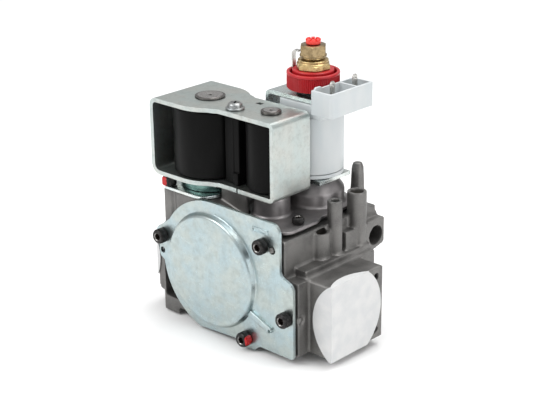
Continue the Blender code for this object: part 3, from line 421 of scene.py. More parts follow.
def turned_steel(name, centre, rim):
    """Lathe-turned steel: fine rings round the axis, with painted shade darkening the centre mark and the
    stepped band beyond the rim radius.
    """
    tree = Tree(name)
    moved = tree.add("ShaderNodeMapping", Vector=tree.place)
    moved.inputs["Location"].default_value = (-centre[0] * MM, -centre[1] * MM, 0)
    parts = tree.add("ShaderNodeSeparateXYZ", Vector=moved.outputs["Vector"])
    radius = tree.math("SQRT", tree.math("ADD", *[tree.math("POWER", parts.outputs[i], 2.0) for i in (0, 1)]))
    rings = tree.math("SINE", tree.math("MULTIPLY", radius, 2 * math.pi / (0.35 * MM)))
    cloud = tree.noise(1.6, detail=4.0, roughness=0.65)
    colour = tree.mix(tree.spread(cloud, 0.3, 0.75), (0.46, 0.455, 0.445), (0.24, 0.22, 0.21))
    # Painted shade: the band beyond the rim radius, where the disc steps down, is darkened.
    edge = tree.spread(radius, (rim - 0.4) * MM, rim * MM, 0.0, 0.75)
    # Painted shade: the centre mark is darkened around its hole.
    middle = tree.spread(radius, 0.5 * MM, 1.1 * MM, 0.7, 0.0)
    colour = tree.mix(tree.math("ADD", edge, middle), colour, (0.06, 0.055, 0.05))
    height = tree.math("ADD", tree.math("MULTIPLY", rings, 0.3), cloud)
    return tree.finish(colour, tree.spread(cloud, 0.3, 0.7, 0.24, 0.42), height, 0.012, 0.2, Metallic=1.0)


def steel(name, colour, roughness):
    dull = tuple(0.72 * value for value in colour)
    cloud, fine = (2.5, EVEN, 4), (0.3, (1, 1, 5), 3)
    return mottled(name, (colour, dull), roughness, cloud, fine, 0.008, 0.15, Metallic=1.0)


def black_oxide(name, paint=None):
    """Oiled black oxide. paint is (direction, offset in metres): beyond it the screw wears red lacquer."""
    tree = Tree(name)
    cloud = tree.noise(1.2, detail=4.0)
    fine = tree.noise(0.2, detail=3.0)
    colour = tree.mix(tree.spread(cloud, 0.35, 0.7), (0.010, 0.0095, 0.0095), (0.036, 0.034, 0.033))
    roughness = tree.spread(fine, 0.3, 0.7, 0.26, 0.46)
    if not paint:
        return tree.finish(colour, roughness, fine, 0.01, 0.15, Metallic=0.4, Specular_IOR_Level=0.3)
    direction, offset = paint
    dot = tree.add("ShaderNodeVectorMath", {"operation": "DOT_PRODUCT"}, _0=tree.place, _1=direction)
    ragged = tree.math("MULTIPLY_ADD", cloud, 1.2 * MM, dot.outputs["Value"])
    mask = tree.spread(ragged, offset, offset + 0.12 * MM)
    colour = tree.mix(mask, colour, tree.mix(fine, (0.62, 0.012, 0.014), (0.36, 0.006, 0.008)))
    roughness = tree.spread(mask, 0.0, 1.0, 0.36, 0.26)
    metallic = tree.spread(mask, 0.0, 1.0, 0.6, 0.0)
    tree.link(metallic, tree.shader.inputs["Metallic"])
    return tree.finish(colour, roughness, tree.math("MULTIPLY_ADD", mask, 4.0, fine), 0.03, 0.15)


def plastic(name, first, second, roughness, depth=0.006, **sockets):
    """Moulded plastic with a faint flow pattern and a fine texture."""
    flow, fine = (8.0, (1, 1, 3), 3), (0.25, EVEN, 2)
    return mottled(name, (first, second), roughness, flow, fine, depth, 0.25, **sockets)


def brass(name, bright, dull):
    cloud, fine = (2.2, EVEN, 5, 0.65), (0.3, (4, 4, 1), 3)
    return mottled(name, (bright, dull), (0.26, 0.38), cloud, fine, 0.002, 0.25, (0.35, 0.72), Metallic=1.0)


def copper():
    """Enamelled copper wire, laid in close turns."""
    tree = Tree("copper_wire")
    parts = tree.add("ShaderNodeSeparateXYZ", Vector=tree.place)
    turns = tree.math("SINE", tree.math("MULTIPLY", parts.outputs[2], 2 * math.pi / (0.3 * MM)))
    cloud = tree.noise(2.0, detail=3.0)
    colour = tree.mix(tree.spread(cloud, 0.3, 0.7), (0.45, 0.16, 0.07), (0.62, 0.28, 0.13))
    return tree.finish(colour, tree.spread(cloud, 0.3, 0.7, 0.2, 0.35), turns, 0.03, 0.0, Metallic=1.0)


CAST = cast_metal()
YOKE_ZINC = zinc("yoke_zinc", (0.50, 0.56, 0.545), (0.54, 0.56, 0.53), (0.32, 0.48))
COVER_ZINC = zinc("cover_zinc", (0.405, 0.50, 0.525), (0.455, 0.505, 0.485), (0.26, 0.42), 0.5)
BRACKET_ZINC = zinc("bracket_zinc", (0.66, 0.74, 0.75), (0.70, 0.73, 0.70), (0.22, 0.36), 0.2)
SCREW_ZINC = zinc("screw_zinc", (0.34, 0.37, 0.385), (0.38, 0.38, 0.37), (0.28, 0.40), 0.3)
DARK_SHEET = mottled(
    "dark_sheet", ((0.20, 0.19, 0.193), (0.28, 0.265, 0.265)), (0.36, 0.46),
    (7.0, EVEN, 4), (0.6, EVEN, 4, 0.7), 0.003, Metallic=0.8,
)
TEAL_ZINC = mottled(
    "teal_zinc", ((0.07, 0.14, 0.13), (0.15, 0.26, 0.235)), (0.18, 0.34),
    (5.0, EVEN, 4), (0.5, (4, 4, 1), 3), 0.008, 0.25, Metallic=0.9,
)
STEEL = steel("steel", (0.50, 0.50, 0.49), (0.22, 0.4))
TAB_STEEL = steel("tab_steel", (0.62, 0.61, 0.58), (0.18, 0.32))
# Black oxide for the screws; the adjuster collar also wears it as painted shade.
BLACK_OXIDE_AND_PAINTED_SHADE = black_oxide("black_oxide")
# Bare, slightly rusty inside of a screw's hexagon socket
SOCKET_RUST = mottled(
    "socket_rust", ((0.018, 0.013, 0.011), (0.07, 0.055, 0.048)), (0.3, 0.55),
    (0.8, EVEN, 4), (0.8, EVEN, 4), 0.02, 0.1, (0.35, 0.65), Metallic=0.7,
)
WORN_RIM = steel("worn_rim", (0.30, 0.29, 0.28), (0.24, 0.4))
BLACK_PLASTIC = plastic(
    "black_plastic", (0.0015, 0.0015, 0.0015), (0.003, 0.003, 0.003), (0.36, 0.48), Specular_IOR_Level=0.1
)
WHITE_PLASTIC = plastic("white_plastic", (0.52, 0.56, 0.575), (0.57, 0.595, 0.60), (0.36, 0.48))
RED_PLASTIC = plastic("red_plastic", (0.40, 0.006, 0.012), (0.48, 0.010, 0.016), (0.32, 0.44))
RED_SCREW = plastic("red_screw_plastic", (0.78, 0.045, 0.035), (0.86, 0.07, 0.05), (0.32, 0.45), 0.012)
BRASS = brass("brass", (0.60, 0.45, 0.22), (0.38, 0.27, 0.12))
NUT_BRASS = brass("nut_brass", (0.36, 0.27, 0.15), (0.20, 0.145, 0.075))
# Darkened brass for the test screws deep in the nozzle bores: painted shade of the bores.
BRASS_IN_PAINTED_SHADE = brass("brass_in_painted_shade", (0.20, 0.16, 0.09), (0.10, 0.08, 0.05))
RUBBER = mottled(
    "rubber", ((0.012, 0.012, 0.012), (0.035, 0.034, 0.033)), (0.55, 0.75),
    (3.0, EVEN, 4), (0.2, EVEN, 3), 0.02,
)
COPPER = copper()
PAPER = mottled(
    "paper", ((0.56, 0.57, 0.575), (0.63, 0.63, 0.625)), (0.45, 0.65),
    (6.0, EVEN, 4), (0.35, (1, 4, 1), 4, 0.7), 0.015, 0.1,
)


# ---- body casting

VOXEL = 0.55
BODY_HALF_X = 41.85
BODY_FRONT = -28.3
BODY_REAR = 24.0
LOWER_TOP = 39.2
UPPER_TOP = 56.6
UPPER_WALL_X = 33.85
LEDGE_TOP = 42.6
TOWER_TOP = 63.3
PORT = (-4.0, 21.5)
PORT_RADIUS = 9.0
FLANGE_SIDE = 35.0
FLANGE_FACE_X = 55.0
FLANGE_PITCH = 26.0
TAP_RADIUS = 1.65
SMALL_TAP_RADIUS = 1.25
POCKET_RADIUS = 24.0
DOME = (-8.0, 32.6)
LOCATING_PIN = (29.2, 52.8)
LOCATING_PIN_RADIUS = 1.4
LOCATING_PIN_SPAN = (20, 31.9)
POST_AT = (25.8, 30.4, 0)
POST_PROFILE = ((0, 49), (3.9, 49), (2.8, 74), (2.0, 76.2), (0, 76.6))
# Outlet test point, vent and inlet test point: x, y, radius and top
NOZZLES = ((33.4, -4.4, 4.5, 54.6), (35.4, 3.3, 3.4, 67.8), (35.0, 19.0, 4.5, 67.8))


def flange_block(side):
    half = FLANGE_SIDE / 2
    low_y, high_y = PORT[0] - half, PORT[0] + half
    low_z, high_z = PORT[1] - half, PORT[1] + half
    front_low = 4.5 if side < 0 else 1.0
    outline = rectangle((low_y, high_y), (low_z, high_z), (front_low, 1.0, 1.0, 1.0))
    ends = sorted((side * (BODY_HALF_X - 2), side * FLANGE_FACE_X))
    return plate("flange", outline, "x", *ends)


def middle_wall():
    """Wall between the two solenoids, with a ramp from the tower down in front of it."""
    left, right, low, top = -14.5, 3.4, UPPER_TOP - 1, 69.2
    ramp = ((left, low), (left, 63.2), (right, 58.6), (right, low))
    return [
        plate("ramp", ramp, "y", BODY_FRONT, -19.5),
        block("wall", (-12.6, -3.0), (-20.0, -14.6), (low, top)),
        block("wall", (-4.0, right), (-20.0, -18.2), (low, top)),
    ]


def rear_boss():
    face = ((8, 30), (22, 32), (26, 36.4), (35.5, 38.8, 2.0), (35.5, 51.4, 1.0), (8, 51.4))
    gusset = ((22.0, 50), (35.2, 50), (35.2, 52.8, 0.8), (27.6, 59.4, 1.2), (22.0, 59.4))
    boss = plate("boss", face, "x", 18, 38)
    return fuse(boss, plate("gusset", gusset, "x", 30.8, 33.7))


def body_passages():
    """Ports, solenoid seats, diaphragm chambers and the main valve seat."""
    (y, z), (dome_x, dome_z) = PORT, DOME
    outward = FLANGE_FACE_X + 1
    depth = -BODY_FRONT + 1
    return [
        rod("inlet", (0, y, z), PORT_RADIUS, -EV1[0] - 6, outward, (-1, 0, 0)),
        rod("outlet", (0, y, z), PORT_RADIUS, dome_x, outward, (1, 0, 0)),
        rod("ev1_chamber", EV1, 11.0, 47.0, TOWER_TOP + 1),
        rod("ev1_seat", EV1, 6.0, z, 48.0),
        rod("ev2_seat", EV2, 2.2, 46.0, UPPER_TOP + 1, segments=12),
        rod("pocket", (dome_x, 0, dome_z), POCKET_RADIUS, 21.0, depth, FRONT, 64),
        rod("outlet_chamber", (dome_x, 0, dome_z), 8.6, -5.0, 22.0, FRONT),
        rod("main_seat", (dome_x, 0, dome_z), 6.6, -9.0, 0.0, FRONT),
        rod("inlet_chamber", (dome_x, 0, dome_z), 10.5, -21.5, -8.5, FRONT),
        rod("servo_chamber", MODULATOR, 9.5, 51.5, UPPER_TOP + 1),
    ]


def flange_holes():
    holes = []
    offsets = (-FLANGE_PITCH / 2, FLANGE_PITCH / 2)
    for side in (-1, 1):
        for dy in offsets:
            for dz in offsets:
                at = (0, PORT[0] + dy, PORT[1] + dz)
                holes.append(rod("hole", at, TAP_RADIUS, 46, FLANGE_FACE_X + 1, (side, 0, 0), 20))
    return holes


def screw_holes():
    """Blind holes under the screws of the covers and of the solenoid base."""
    return [
        *cover_screw_holes(TAP_RADIUS, 18.5, 35, 12),
        *upright_holes("servo_cover_screw", 2, SMALL_TAP_RADIUS, 46, UPPER_TOP + 1),
        *upright_holes("ev1_base_screw", 3, SMALL_TAP_RADIUS, 53.5, TOWER_TOP + 1),
    ]


def casting():
    """The blocks and bosses are joined and cut, then remeshed and smoothed, which fillets every edge."""
    body = block("body", (-BODY_HALF_X, BODY_HALF_X), (BODY_FRONT, BODY_REAR), (4.0, LOWER_TOP))
    fuse(
        body,
        block("upper", (-16.0, UPPER_WALL_X), (BODY_FRONT, 34.0), (LOWER_TOP - 1, UPPER_TOP)),
        block("ledge", (UPPER_WALL_X - 1, 40.4), (-21.5, BODY_REAR - 1), (LOWER_TOP - 1, LEDGE_TOP)),
        block("tower", (-BODY_HALF_X, -14.0), (BODY_FRONT, 13.0), (LOWER_TOP - 1, TOWER_TOP)),
        *middle_wall(),
        flange_block(-1),
        flange_block(1),
        block("lug", (BODY[0].x + 10.5, -34.8), (BODY_FRONT, -12.0), (1.0, LOWER_TOP - 2)),
        block("pad", (-39.5, -27.0), (-16.0, BODY_REAR - 3), (0, 5)),
        block("pad", (22.0, 34.0), (-16.0, BODY_REAR - 3), (0, 5)),
        rear_boss(),
        turned("post", POST_PROFILE, POST_AT, segments=32),
        rod("ear", (-40.0, 0, 41.3), 4.4, 17, -BODY_FRONT, FRONT),
        rod("ear", (13.3, 0, 5.6), 4.6, 17, -BODY_FRONT, FRONT),
        *[rod("nozzle", (x, y, 0), radius, LEDGE_TOP - 4, top, segments=40) for x, y, radius, top in NOZZLES],
        front_rod(LOCATING_PIN, LOCATING_PIN_RADIUS, *LOCATING_PIN_SPAN),
    )
    pocket = block("pocket", (-43.2, -20.0), (BODY_FRONT - 1, -15.5), (8.6, 34.0))
    cut(pocket, rod("wall", (DOME[0], 0, DOME[1]), POCKET_RADIUS + 3.6, -16, 29, FRONT, 64))
    cut(body, *body_passages(), *screw_holes(), pocket)
    cut(body, rod("groove", (-35.5, BODY_FRONT - 0.6, 0), 1.8, 44, TOWER_TOP + 1))
    cut(body, rod("side_hole", (0, 29.3, 43.7), 4.6, 22, 39, (1, 0, 0)), *flange_holes())
    ring_at = (0, -26.4, PORT[1])
    cut(body, tube("pin_mark", ring_at, 1.1, 2.3, BODY_HALF_X - 0.9, BODY_HALF_X + 1, (1, 0, 0)))
    for x, y, radius, top in NOZZLES:
        cut(body, rod("bore", (x, y, 0), radius - 1.5, top - 9, top + 1, segments=40))
    remesh = body.modifiers.new("remesh", "REMESH")
    remesh.mode = "VOXEL"
    remesh.voxel_size = VOXEL * MM
    smooth = body.modifiers.new("smooth", "SMOOTH")
    smooth.factor = 0.5
    smooth.iterations = 2
    thin = body.modifiers.new("thin", "DECIMATE")
    thin.ratio = 0.25
    bake_modifiers(body)
    show(body, "valve_body", CAST)


# ---- diaphragm cover

DOME_FOOT = 27.4
DOME_FACE = 26.2
DOME_HEIGHT = 3.0
SHEET = 1.5
COVER_FRONT = -31.2


def cover_outline():
    """Outline of the front cover in XZ: a round half, a screw ear and a square half."""
    reach = 32.2
    right = rounded(
        (
            (28.0, 65.3), (33.6, 65.3, 4.5), (33.6, 41.8, 3.0), (41.4, 38.8, 4.0), (41.4, 3.6, 1.2),
            (21.0, 3.6, 3.0), (17.6, 0.6, 3.0), (9.5, 0.3, 2.0), (6.5, 3.0),
        )
    )
    lobe = rounded(((-42.4, 30.2), (-43.2, 32.0, 1.0), (-43.2, 36.5)))
    return (
        arc(DOME, reach, 254, 187, 30) + lobe + arc((-40.0, 41.3), 5.0, 215, 110, 14)
        + arc(DOME, reach + 0.6, 147, 88, 26) + right
    )


def dome_profile(shift):
    """Half section of the pressed dome: tight foot, steep wall, round shoulder and almost flat face."""
    foot = -COVER_FRONT + shift
    face = foot + DOME_HEIGHT
    brim = DOME_FOOT + 1.2 + shift
    return rounded(
        (
            (0, foot - 1.0), (brim, foot - 1.0), (brim, foot + 0.01), (DOME_FOOT + shift, foot + 0.02, 0.7),
            (DOME_FACE + shift, face, 1.4), (23.6 + shift, face - 0.3, 4.0), (19.0 + shift, face - 0.1, 9.0),
            (0, face + 0.05),
        ),
        10,
    )


def main_cover():
    cover = plate("cover", cover_outline(), "y", COVER_FRONT, COVER_FRONT + SHEET)
    at = (DOME[0], 0, DOME[1])
    fuse(cover, turned("dome", dome_profile(0.0), at, FRONT, 128))
    inside = dome_profile(-SHEET)
    inside[0] = (0, -COVER_FRONT - SHEET - 1)
    inside[1] = (inside[1][0], -COVER_FRONT - SHEET - 1)
    cut(cover, turned("inside", inside, at, FRONT, 96))
    through = (25, 35)
    cut(
        cover,
        *cover_screw_holes(1.9, *through),
        front_rod(LOCATING_PIN, LOCATING_PIN_RADIUS + 0.5, *through),
        front_rod((-41.0, 33.4), 1.5, *through),
    )
    rib = ((14.8, 17.6, 0.8), (28.2, 12.2, 1.6), (29.8, 15.0, 1.2), (16.4, 20.6, 0.8))
    fuse(cover, plate("rib", rib, "y", -32.6, -30.5, 0.6))
    cut(cover, front_rod((28.2, 14.0), 0.8, 31.6, 34, 24))
    mark = rectangle((17.6, 27.0), (58.9, 61.3), (0.4, 0.4, 0.4, 0.4), 3)
    middle = rectangle((18.2, 26.4), (59.5, 60.7), (0.3, 0.3, 0.3, 0.3), 3)
    frame_mark = plate("mark", mark, "y", -31.6, -30.5, 0.12)
    cut(frame_mark, plate("middle", middle, "y", -33, -31.22))
    fuse(cover, frame_mark)
    show(cover, "main_cover", COVER_ZINC)


# ---- screws


def cap_screw(node, axis, head, shank_radius, material=None):
    """Knurled socket cap screw, as long as its CAD node along its axis."""
    low, high = corners(node)
    middle = (low + high) / 2
    axis = Vector(axis)
    radius = (high.x - low.x) / 2
    length = abs((high - low).dot(axis))
    at = middle + axis * (length / 2 - head)
    across, lip = 0.5 * radius, 0.62 * radius
    profile = (
        (0, head - length), (shank_radius, head - length, 0.3), (shank_radius, 0), (radius - 0.3, 0),
        (radius, 0.3), (radius, head - 0.75), (radius - 0.12, head - 0.5), (radius - 0.6, head, 0.3),
        (lip, head), (0, head),
    )
    screw = turned("screw", profile, at, axis, 68, 3, ribs=(0.24, 0.25, head - 0.7))
    bottom = head - 0.55 * head
    socket = turned("socket", ((0, bottom), (across, bottom), (across, head + 1), (0, head + 1)), at, axis, 6)
    mouth = ((0, head - 0.35), (across - 0.15, head - 0.35), (lip, head + 0.2), (0, head + 0.2))
    cut(screw, socket, turned("mouth", mouth, at, axis))
    screw.data.materials.clear()
    screw.data.materials.append(material or BLACK_OXIDE_AND_PAINTED_SHADE)
    screw.data.materials.append(SOCKET_RUST)
    screw.data.materials.append(WORN_RIM)
    for face in screw.data.polygons:
        away = face.center / MM - at
        height = away.dot(axis)
        spread = (away - axis * height).length
        if spread < lip - 0.05 and 0 < height < head - 0.02:
            face.material_index = 2 if height > head - 0.34 and spread > across - 0.1 else 1
    show(screw, node, None)


def lacquered(name, node, direction, share):
    """Black oxide with red lacquer on the side of the screw that the direction points to."""
    low, high = corners(node)
    middle = (low + high) / 2 * MM
    radius = (high.x - low.x) / 2 * MM
    direction = Vector(direction).normalized()
    return black_oxide(name, (tuple(direction), middle.dot(direction) + share * radius + 0.6 * MM))


def all_cap_screws():
    sealed_front = lacquered("lacquered_cover_screw", "cover_screw_4", (1.0, 0.0, 0.1), 0.72)
    sealed_base = lacquered("lacquered_base_screw", "ev1_base_screw_1", (-1.0, -0.4, 0.0), 0.0)
    for index in range(1, 5):
        material = sealed_front if index == 4 else None
        cap_screw(f"cover_screw_{index}", FRONT, 4.0, TAP_RADIUS - 0.2, material)
    for index in (1, 2):
        cap_screw(f"servo_cover_screw_{index}", UP, 3.0, SMALL_TAP_RADIUS - 0.2)
    for index in (1, 2, 3):
        material = sealed_base if index == 1 else None
        cap_screw(f"ev1_base_screw_{index}", UP, 3.8, SMALL_TAP_RADIUS - 0.2, material)


def yoke_screw():
    """Cross-recess pan screw with a captive washer."""
    low, high = corners("yoke_screw")
    at = axis_of("yoke_screw")
    washer = high.z - 3.0
    profile = (
        (0, low.z), (1.6, low.z), (1.6, washer), (4.3, washer, 0.2), (4.3, washer + 0.8, 0.3),
        (3.4, washer + 0.9), (3.3, high.z - 0.9, 0.5), (2.5, high.z - 0.1, 0.6), (0, high.z),
    )
    screw = turned("yoke_screw", profile, at, steps=4)
    for turn in (math.radians(35), math.radians(125)):
        arm = block("arm", (-1.9, 1.9), (-0.45, 0.45), (high.z - 1.5, high.z + 1))
        arm.matrix_world = Matrix.Translation(Vector(at) * MM) @ Matrix.Rotation(turn, 4, "Z")
        cut(screw, arm)
    show(screw, "yoke_screw", SCREW_ZINC)


# ---- servo cover


# How far the stamped rim stands out past the CAD plate
SERVO_FRONT_LIP = 3.5
SERVO_RIGHT_LIP = 0.6


def servo_outline():
    """Outline of the servo cover in XY, cut away where the ramp of the casting passes."""
    low, high = PLATE
    front, right = low.y - SERVO_FRONT_LIP, high.x + SERVO_RIGHT_LIP
    return (
        (3.8, front, 1.0), (right, front, 5.5), (right, -4.8, 3.0), (30.2, 0.2, 2.0), (30.2, 19.0, 3.0),
        (19.0, high.y, 3.0), (low.x, high.y, 4.0), (low.x, -9.5, 2.0), (-1.5, -14.2, 2.0),
        (3.8, -17.9, 0.5),
    )


def servo_cover():
    """Stamped cover: rolled edges, a small cup for EV2 and a large stepped cup for the modulator."""
    low = PLATE[0].z
    top = low + SHEET
    cover = plate("servo_cover", servo_outline(), "z", low, top, 0.6, 8)
    foot = low + 0.4
    small = ((0, foot), (10.0, foot), (10.0, top - 0.05), (8.2, top, 1.6), (8.2, 68.9, 1.5), (0, 68.9))
    large = (
        (0, foot), (16.4, foot), (16.4, top - 0.05), (14.4, top, 1.8), (14.4, 65.6, 3.0),
        (10.8, 70.8, 1.6), (0, 70.8),
    )
    fuse(
        cover,
        turned("small", small, EV2, segments=96, steps=8),
        turned("large", large, MODULATOR, segments=96, steps=8),
    )
    small_in = ((0, low - 1), (6.9, low - 1), (6.9, 67.6), (0, 67.6))
    large_in = ((0, low - 1), (13.0, low - 1), (13.0, 64.6), (9.4, 69.4), (0, 69.4))
    cut(
        cover,
        turned("small_in", small_in, EV2),
        turned("large_in", large_in, MODULATOR),
        rod("ev2_hole", EV2, 5.5, 66, 70),
        rod("modulator_hole", MODULATOR, 6.5, 69, 72),
        *upright_holes("servo_cover_screw", 2, 1.6, 55, 62),
    )
    show(cover, "servo_cover", DARK_SHEET)


# ---- solenoids


def ev1_base_plate():
    low, high = corners("ev1_base_plate")
    outline = (
        (low.x, low.y, 2.0), (-16.4, low.y, 4.0), (high.x, -22.0, 3.0), (high.x, high.y, 3.0),
        (low.x, high.y, 3.0),
    )
    base = plate("base", outline, "z", low.z, high.z, 0.2, 8)
    cut(base, rod("tube_hole", EV1, 8.2, low.z - 1, high.z + 1, segments=64))
    cut(base, *upright_holes("ev1_base_screw", 3, 1.4, low.z - 1, high.z + 1))
    show(base, "ev1_base_plate", BRACKET_ZINC)


def guide_tubes():
    low, high = corners("ev1_guide_tube")
    cup = (high.x - low.x) / 2
    profile = (
        (7.9, low.z), (cup, low.z, 0.4), (cup, low.z + 4.0, 1.3), (7.9, low.z + 4.0, 0.6),
        (7.9, high.z), (7.3, high.z), (7.3, low.z),
    )
    show(turned("tube", profile, EV1, segments=96), "ev1_guide_tube", TEAL_ZINC)
    low, high = corners("ev2_guide_tube")
    rim = low.z + 1.6
    profile = ((5.2, rim), (5.2, high.z), (4.6, high.z), (4.6, low.z), (6.5, low.z), (6.5, rim))
    show(turned("tube", profile, EV2), "ev2_guide_tube", STEEL)


def pole(node, at, radius, neck):
    """Fixed core, riveted over the yoke as a low disc with a centre mark."""
    low, high = corners(node)
    disc = max((high.x - low.x) / 2, radius)
    over = YOKE[1].z + 0.3
    shoulder = YOKE[1].z - 2.3
    rim = high.z - 0.25
    profile = (
        (0, low.z), (radius, low.z), (radius, shoulder), (neck, shoulder), (neck, over), (disc, over),
        (disc, rim, 0.2), (disc - 0.9, rim), (disc - 1.2, high.z, 0.15), (1.6, high.z), (0.9, rim),
        (0, rim),
    )
    core = turned("pole", profile, at, segments=72, steps=5)
    cut(core, rod("mark", at, 0.8, high.z - 0.9, high.z + 1, segments=16))
    # The turned steel paints shade on the step beyond disc - 1.0 and round the centre mark.
    show(core, node, turned_steel(node + "_steel", at, disc - 1.0))


def coil(node, at, bore):
    """Moulded coil, flat where it would meet the end wall of the yoke."""
    low, high = corners(node)
    radius = at[0] - low.x
    profile = rectangle((bore, radius), (low.z, high.z), (0, 1.4, 1.4, 0))
    moulding = turned("coil", profile, at, segments=120)
    if high.x < at[0] + radius - 0.1:
        cut(moulding, block("flat", (high.x, high.x + 10), (-60, 60), (60, 120)))
    show(moulding, node, BLACK_PLASTIC)


def coil_terminal_block():
    """Web between the coils and the socket behind them."""
    low, high = corners("coil_terminal_block")
    left = EV1[0] + 17.6
    right = EV2[0] - 11.6
    web = block("web", (left, right), (-19.5, 4.4), (low.z, high.z), 0.4)
    foot = block("foot", (left + 5.4, right), (-20.6, -18.0), (low.z, 77.6), 0.4)
    arm = block("arm", (-12.0, BRACKET[0].x - 0.3), (0.0, 10.0), (82.0, 96.0))
    head = block("head", (-25.0, -9.0), (9.0, 21.0), (80.0, 98.0), 0.8)
    fuse(web, foot, arm, head)
    cut(web, block("socket", (-23.4, -10.6), (12.0, 22.0), (82.0, 96.0)))
    cut(web, rod("screw_hole", axis_of("yoke_screw"), 1.8, 98.0, 110))
    for index in (1, 2, 3):
        x = axis_of(f"coil_terminal_{index}")[0]
        cut(web, block("pin_slot", (x - 0.7, x + 0.7), (10.0, 13.0), (86.3, 91.7)))
    for y in (-19.7, -14.0):
        cut(web, rod("groove", ((left + right) / 2 + 1.2, y, 0), 0.5, 74, 110, segments=16))
    show(web, "coil_terminal_block", BLACK_PLASTIC)


def yoke():
    """Sheet band round both coils: wide and round at EV1, narrow at EV2, butt joint below."""
    low, high = YOKE
    sheet = 2.0
    narrow = 12.0
    wide = (high.y - low.y) / 2
    outer = rectangle((low.x, high.x), (low.z, high.z), (5.0, 2.6, 2.6, 4.0), 10)
    inside_x, inside_z = (low.x + sheet, high.x - sheet), (low.z + sheet, high.z - sheet)
    inner = rectangle(inside_x, inside_z, (3.0, 0.6, 0.6, 2.0), 8)
    band = plate("yoke", outer, "y", low.y, high.y)
    cut(band, plate("hollow", inner, "y", low.y - 9, high.y + 9))
    mid = EV1[1]
    for sign in (-1, 1):
        start = math.degrees(math.asin(narrow / wide))
        round_end = arc(EV1, wide, sign * 90, sign * (start + 9), 24)
        neck = arc((EV1[0] + 17.6, mid + sign * (narrow + 3.6)), 3.6, -sign * 130, -sign * 90, 6)
        outline = [*round_end, *neck]
        outline += [Vector((high.x + 5, mid + sign * narrow)), Vector((high.x + 5, mid + sign * 30))]
        outline.append(Vector((EV1[0], mid + sign * 30)))
        cut(band, plate("side", outline, "z", low.z - 5, high.z + 5))
    cut(
        band,
        rod("hole", EV1, 5.1, 100, 110, segments=48),
        rod("hole", EV2, 3.1, 100, 110, segments=32),
        rod("hole", EV1, 8.3, 65, 75, segments=64),
        rod("hole", EV2, 5.6, 65, 75, segments=48),
        rod("hole", axis_of("yoke_screw"), 2.0, 100, 110),
        block("slot", (-4.4, -1.0), (-5.2, -2.6), (100, 110), 0.3),
        block("joint", (-0.1, 0.8), (-40, 20), (65, 75)),
    )
    show(band, "yoke", YOKE_ZINC)


# ---- modulator


def modulator_bracket():
    """C-shaped sheet: bottom plate, wall on the inlet side, top plate."""
    low, high = BRACKET
    sheet = 1.8
    outer = rectangle((low.x, high.x), (low.z, high.z), (2.4, 0, 0, 2.4), 8)
    inner = rectangle((low.x + sheet, high.x + 5), (low.z + sheet, high.z - sheet), (0.8, 0, 0, 0.8), 8)
    bracket = plate("bracket", outer, "y", low.y, high.y)
    cut(
        bracket,
        plate("hollow", inner, "y", low.y - 9, high.y + 9),
        block("box_clearance", (25.1, 40), (-20, 40), (high.z - 5, high.z + 5)),
        rod("hole", MODULATOR, 6.6, 60, 120),
    )
    show(bracket, "modulator_bracket", BRACKET_ZINC)


def modulator_bobbin():
    """Spool with a square top flange that carries the open connector box."""
    y = MODULATOR[1]
    low = BOBBIN[0]
    flange_top = BRACKET[1].z - 2.1
    flange_low = flange_top - 6.0
    box_x, box_y, box_z = (25.4, 37.2), (-1.6, 27.0), (106.4, 117.3)
    wall = 1.2
    bobbin = tube("bobbin", MODULATOR, 6.6, 8.0, low.z, flange_top)
    fuse(bobbin, tube("bottom", MODULATOR, 6.6, 14.0, low.z, low.z + 1.6, segments=96))
    outline = rectangle((1.6, 26.4), (y - 11.6, y + 11.0), (1.5, 0, 0, 1.5))
    flange = plate("flange", outline, "z", flange_low, flange_top, 0.3)
    cut(flange, rod("bore", MODULATOR, 6.6, flange_low - 1, flange_top + 1, segments=64))
    box = plate("box", rectangle(box_x, box_y, (0.6, 1.6, 1.0, 0.6)), "z", *box_z, 0.25)
    ear = ((box_y[0] + 0.2, 112), (5.4, 112), (4.6, 118.2, 1.3), (0.4, 118.2, 1.3))
    fuse(bobbin, flange, box, plate("ear", ear, "x", box_x[0] + 0.1, box_x[0] + wall, 0.2))
    middle = box_y[0] + 0.62 * (box_y[1] - box_y[0])
    for start, end in ((box_y[0] + wall, middle), (middle + wall, box_y[1] - wall)):
        well = ((box_x[0] + wall, box_x[1] - wall), (start, end), (box_z[0] + 1.4, box_z[1] + 3))
        cut(bobbin, block("well", *well, 0.5))
    for index in (1, 2):
        tab_x, tab_y, _ = axis_of(f"modulator_terminal_{index}")
        slot = ((tab_x - 0.7, tab_x + 0.7), (tab_y - 1.75, tab_y + 1.75), (107.1, 108.6))
        cut(bobbin, block("tab_slot", *slot))
    show(bobbin, "modulator_bobbin", WHITE_PLASTIC)


def modulator_sleeve():
    low, high = corners("modulator_sleeve")
    profile = rectangle((12.5, 14.0), (low.z, high.z), (0, 0.4, 0.2, 0))
    sleeve = turned("sleeve", profile, MODULATOR, segments=128)
    show(sleeve, "modulator_sleeve", WHITE_PLASTIC)


def modulator_terminals():
    for index in (1, 2):
        node = f"modulator_terminal_{index}"
        low, high = corners(node)
        outline = (
            (low.y, low.z), (high.y, low.z), (high.y, high.z - 0.9, 0.3), (high.y - 0.8, high.z, 0.3),
            (low.y + 0.8, high.z, 0.3), (low.y, high.z - 0.9, 0.3),
        )
        tab = plate("tab", outline, "x", low.x, high.x, 0.12, 4)
        cut(tab, rod("hole", (0, (low.y + high.y) / 2, high.z - 2.0), 0.6, 30, 33, (1, 0, 0)))
        show(tab, node, TAB_STEEL)


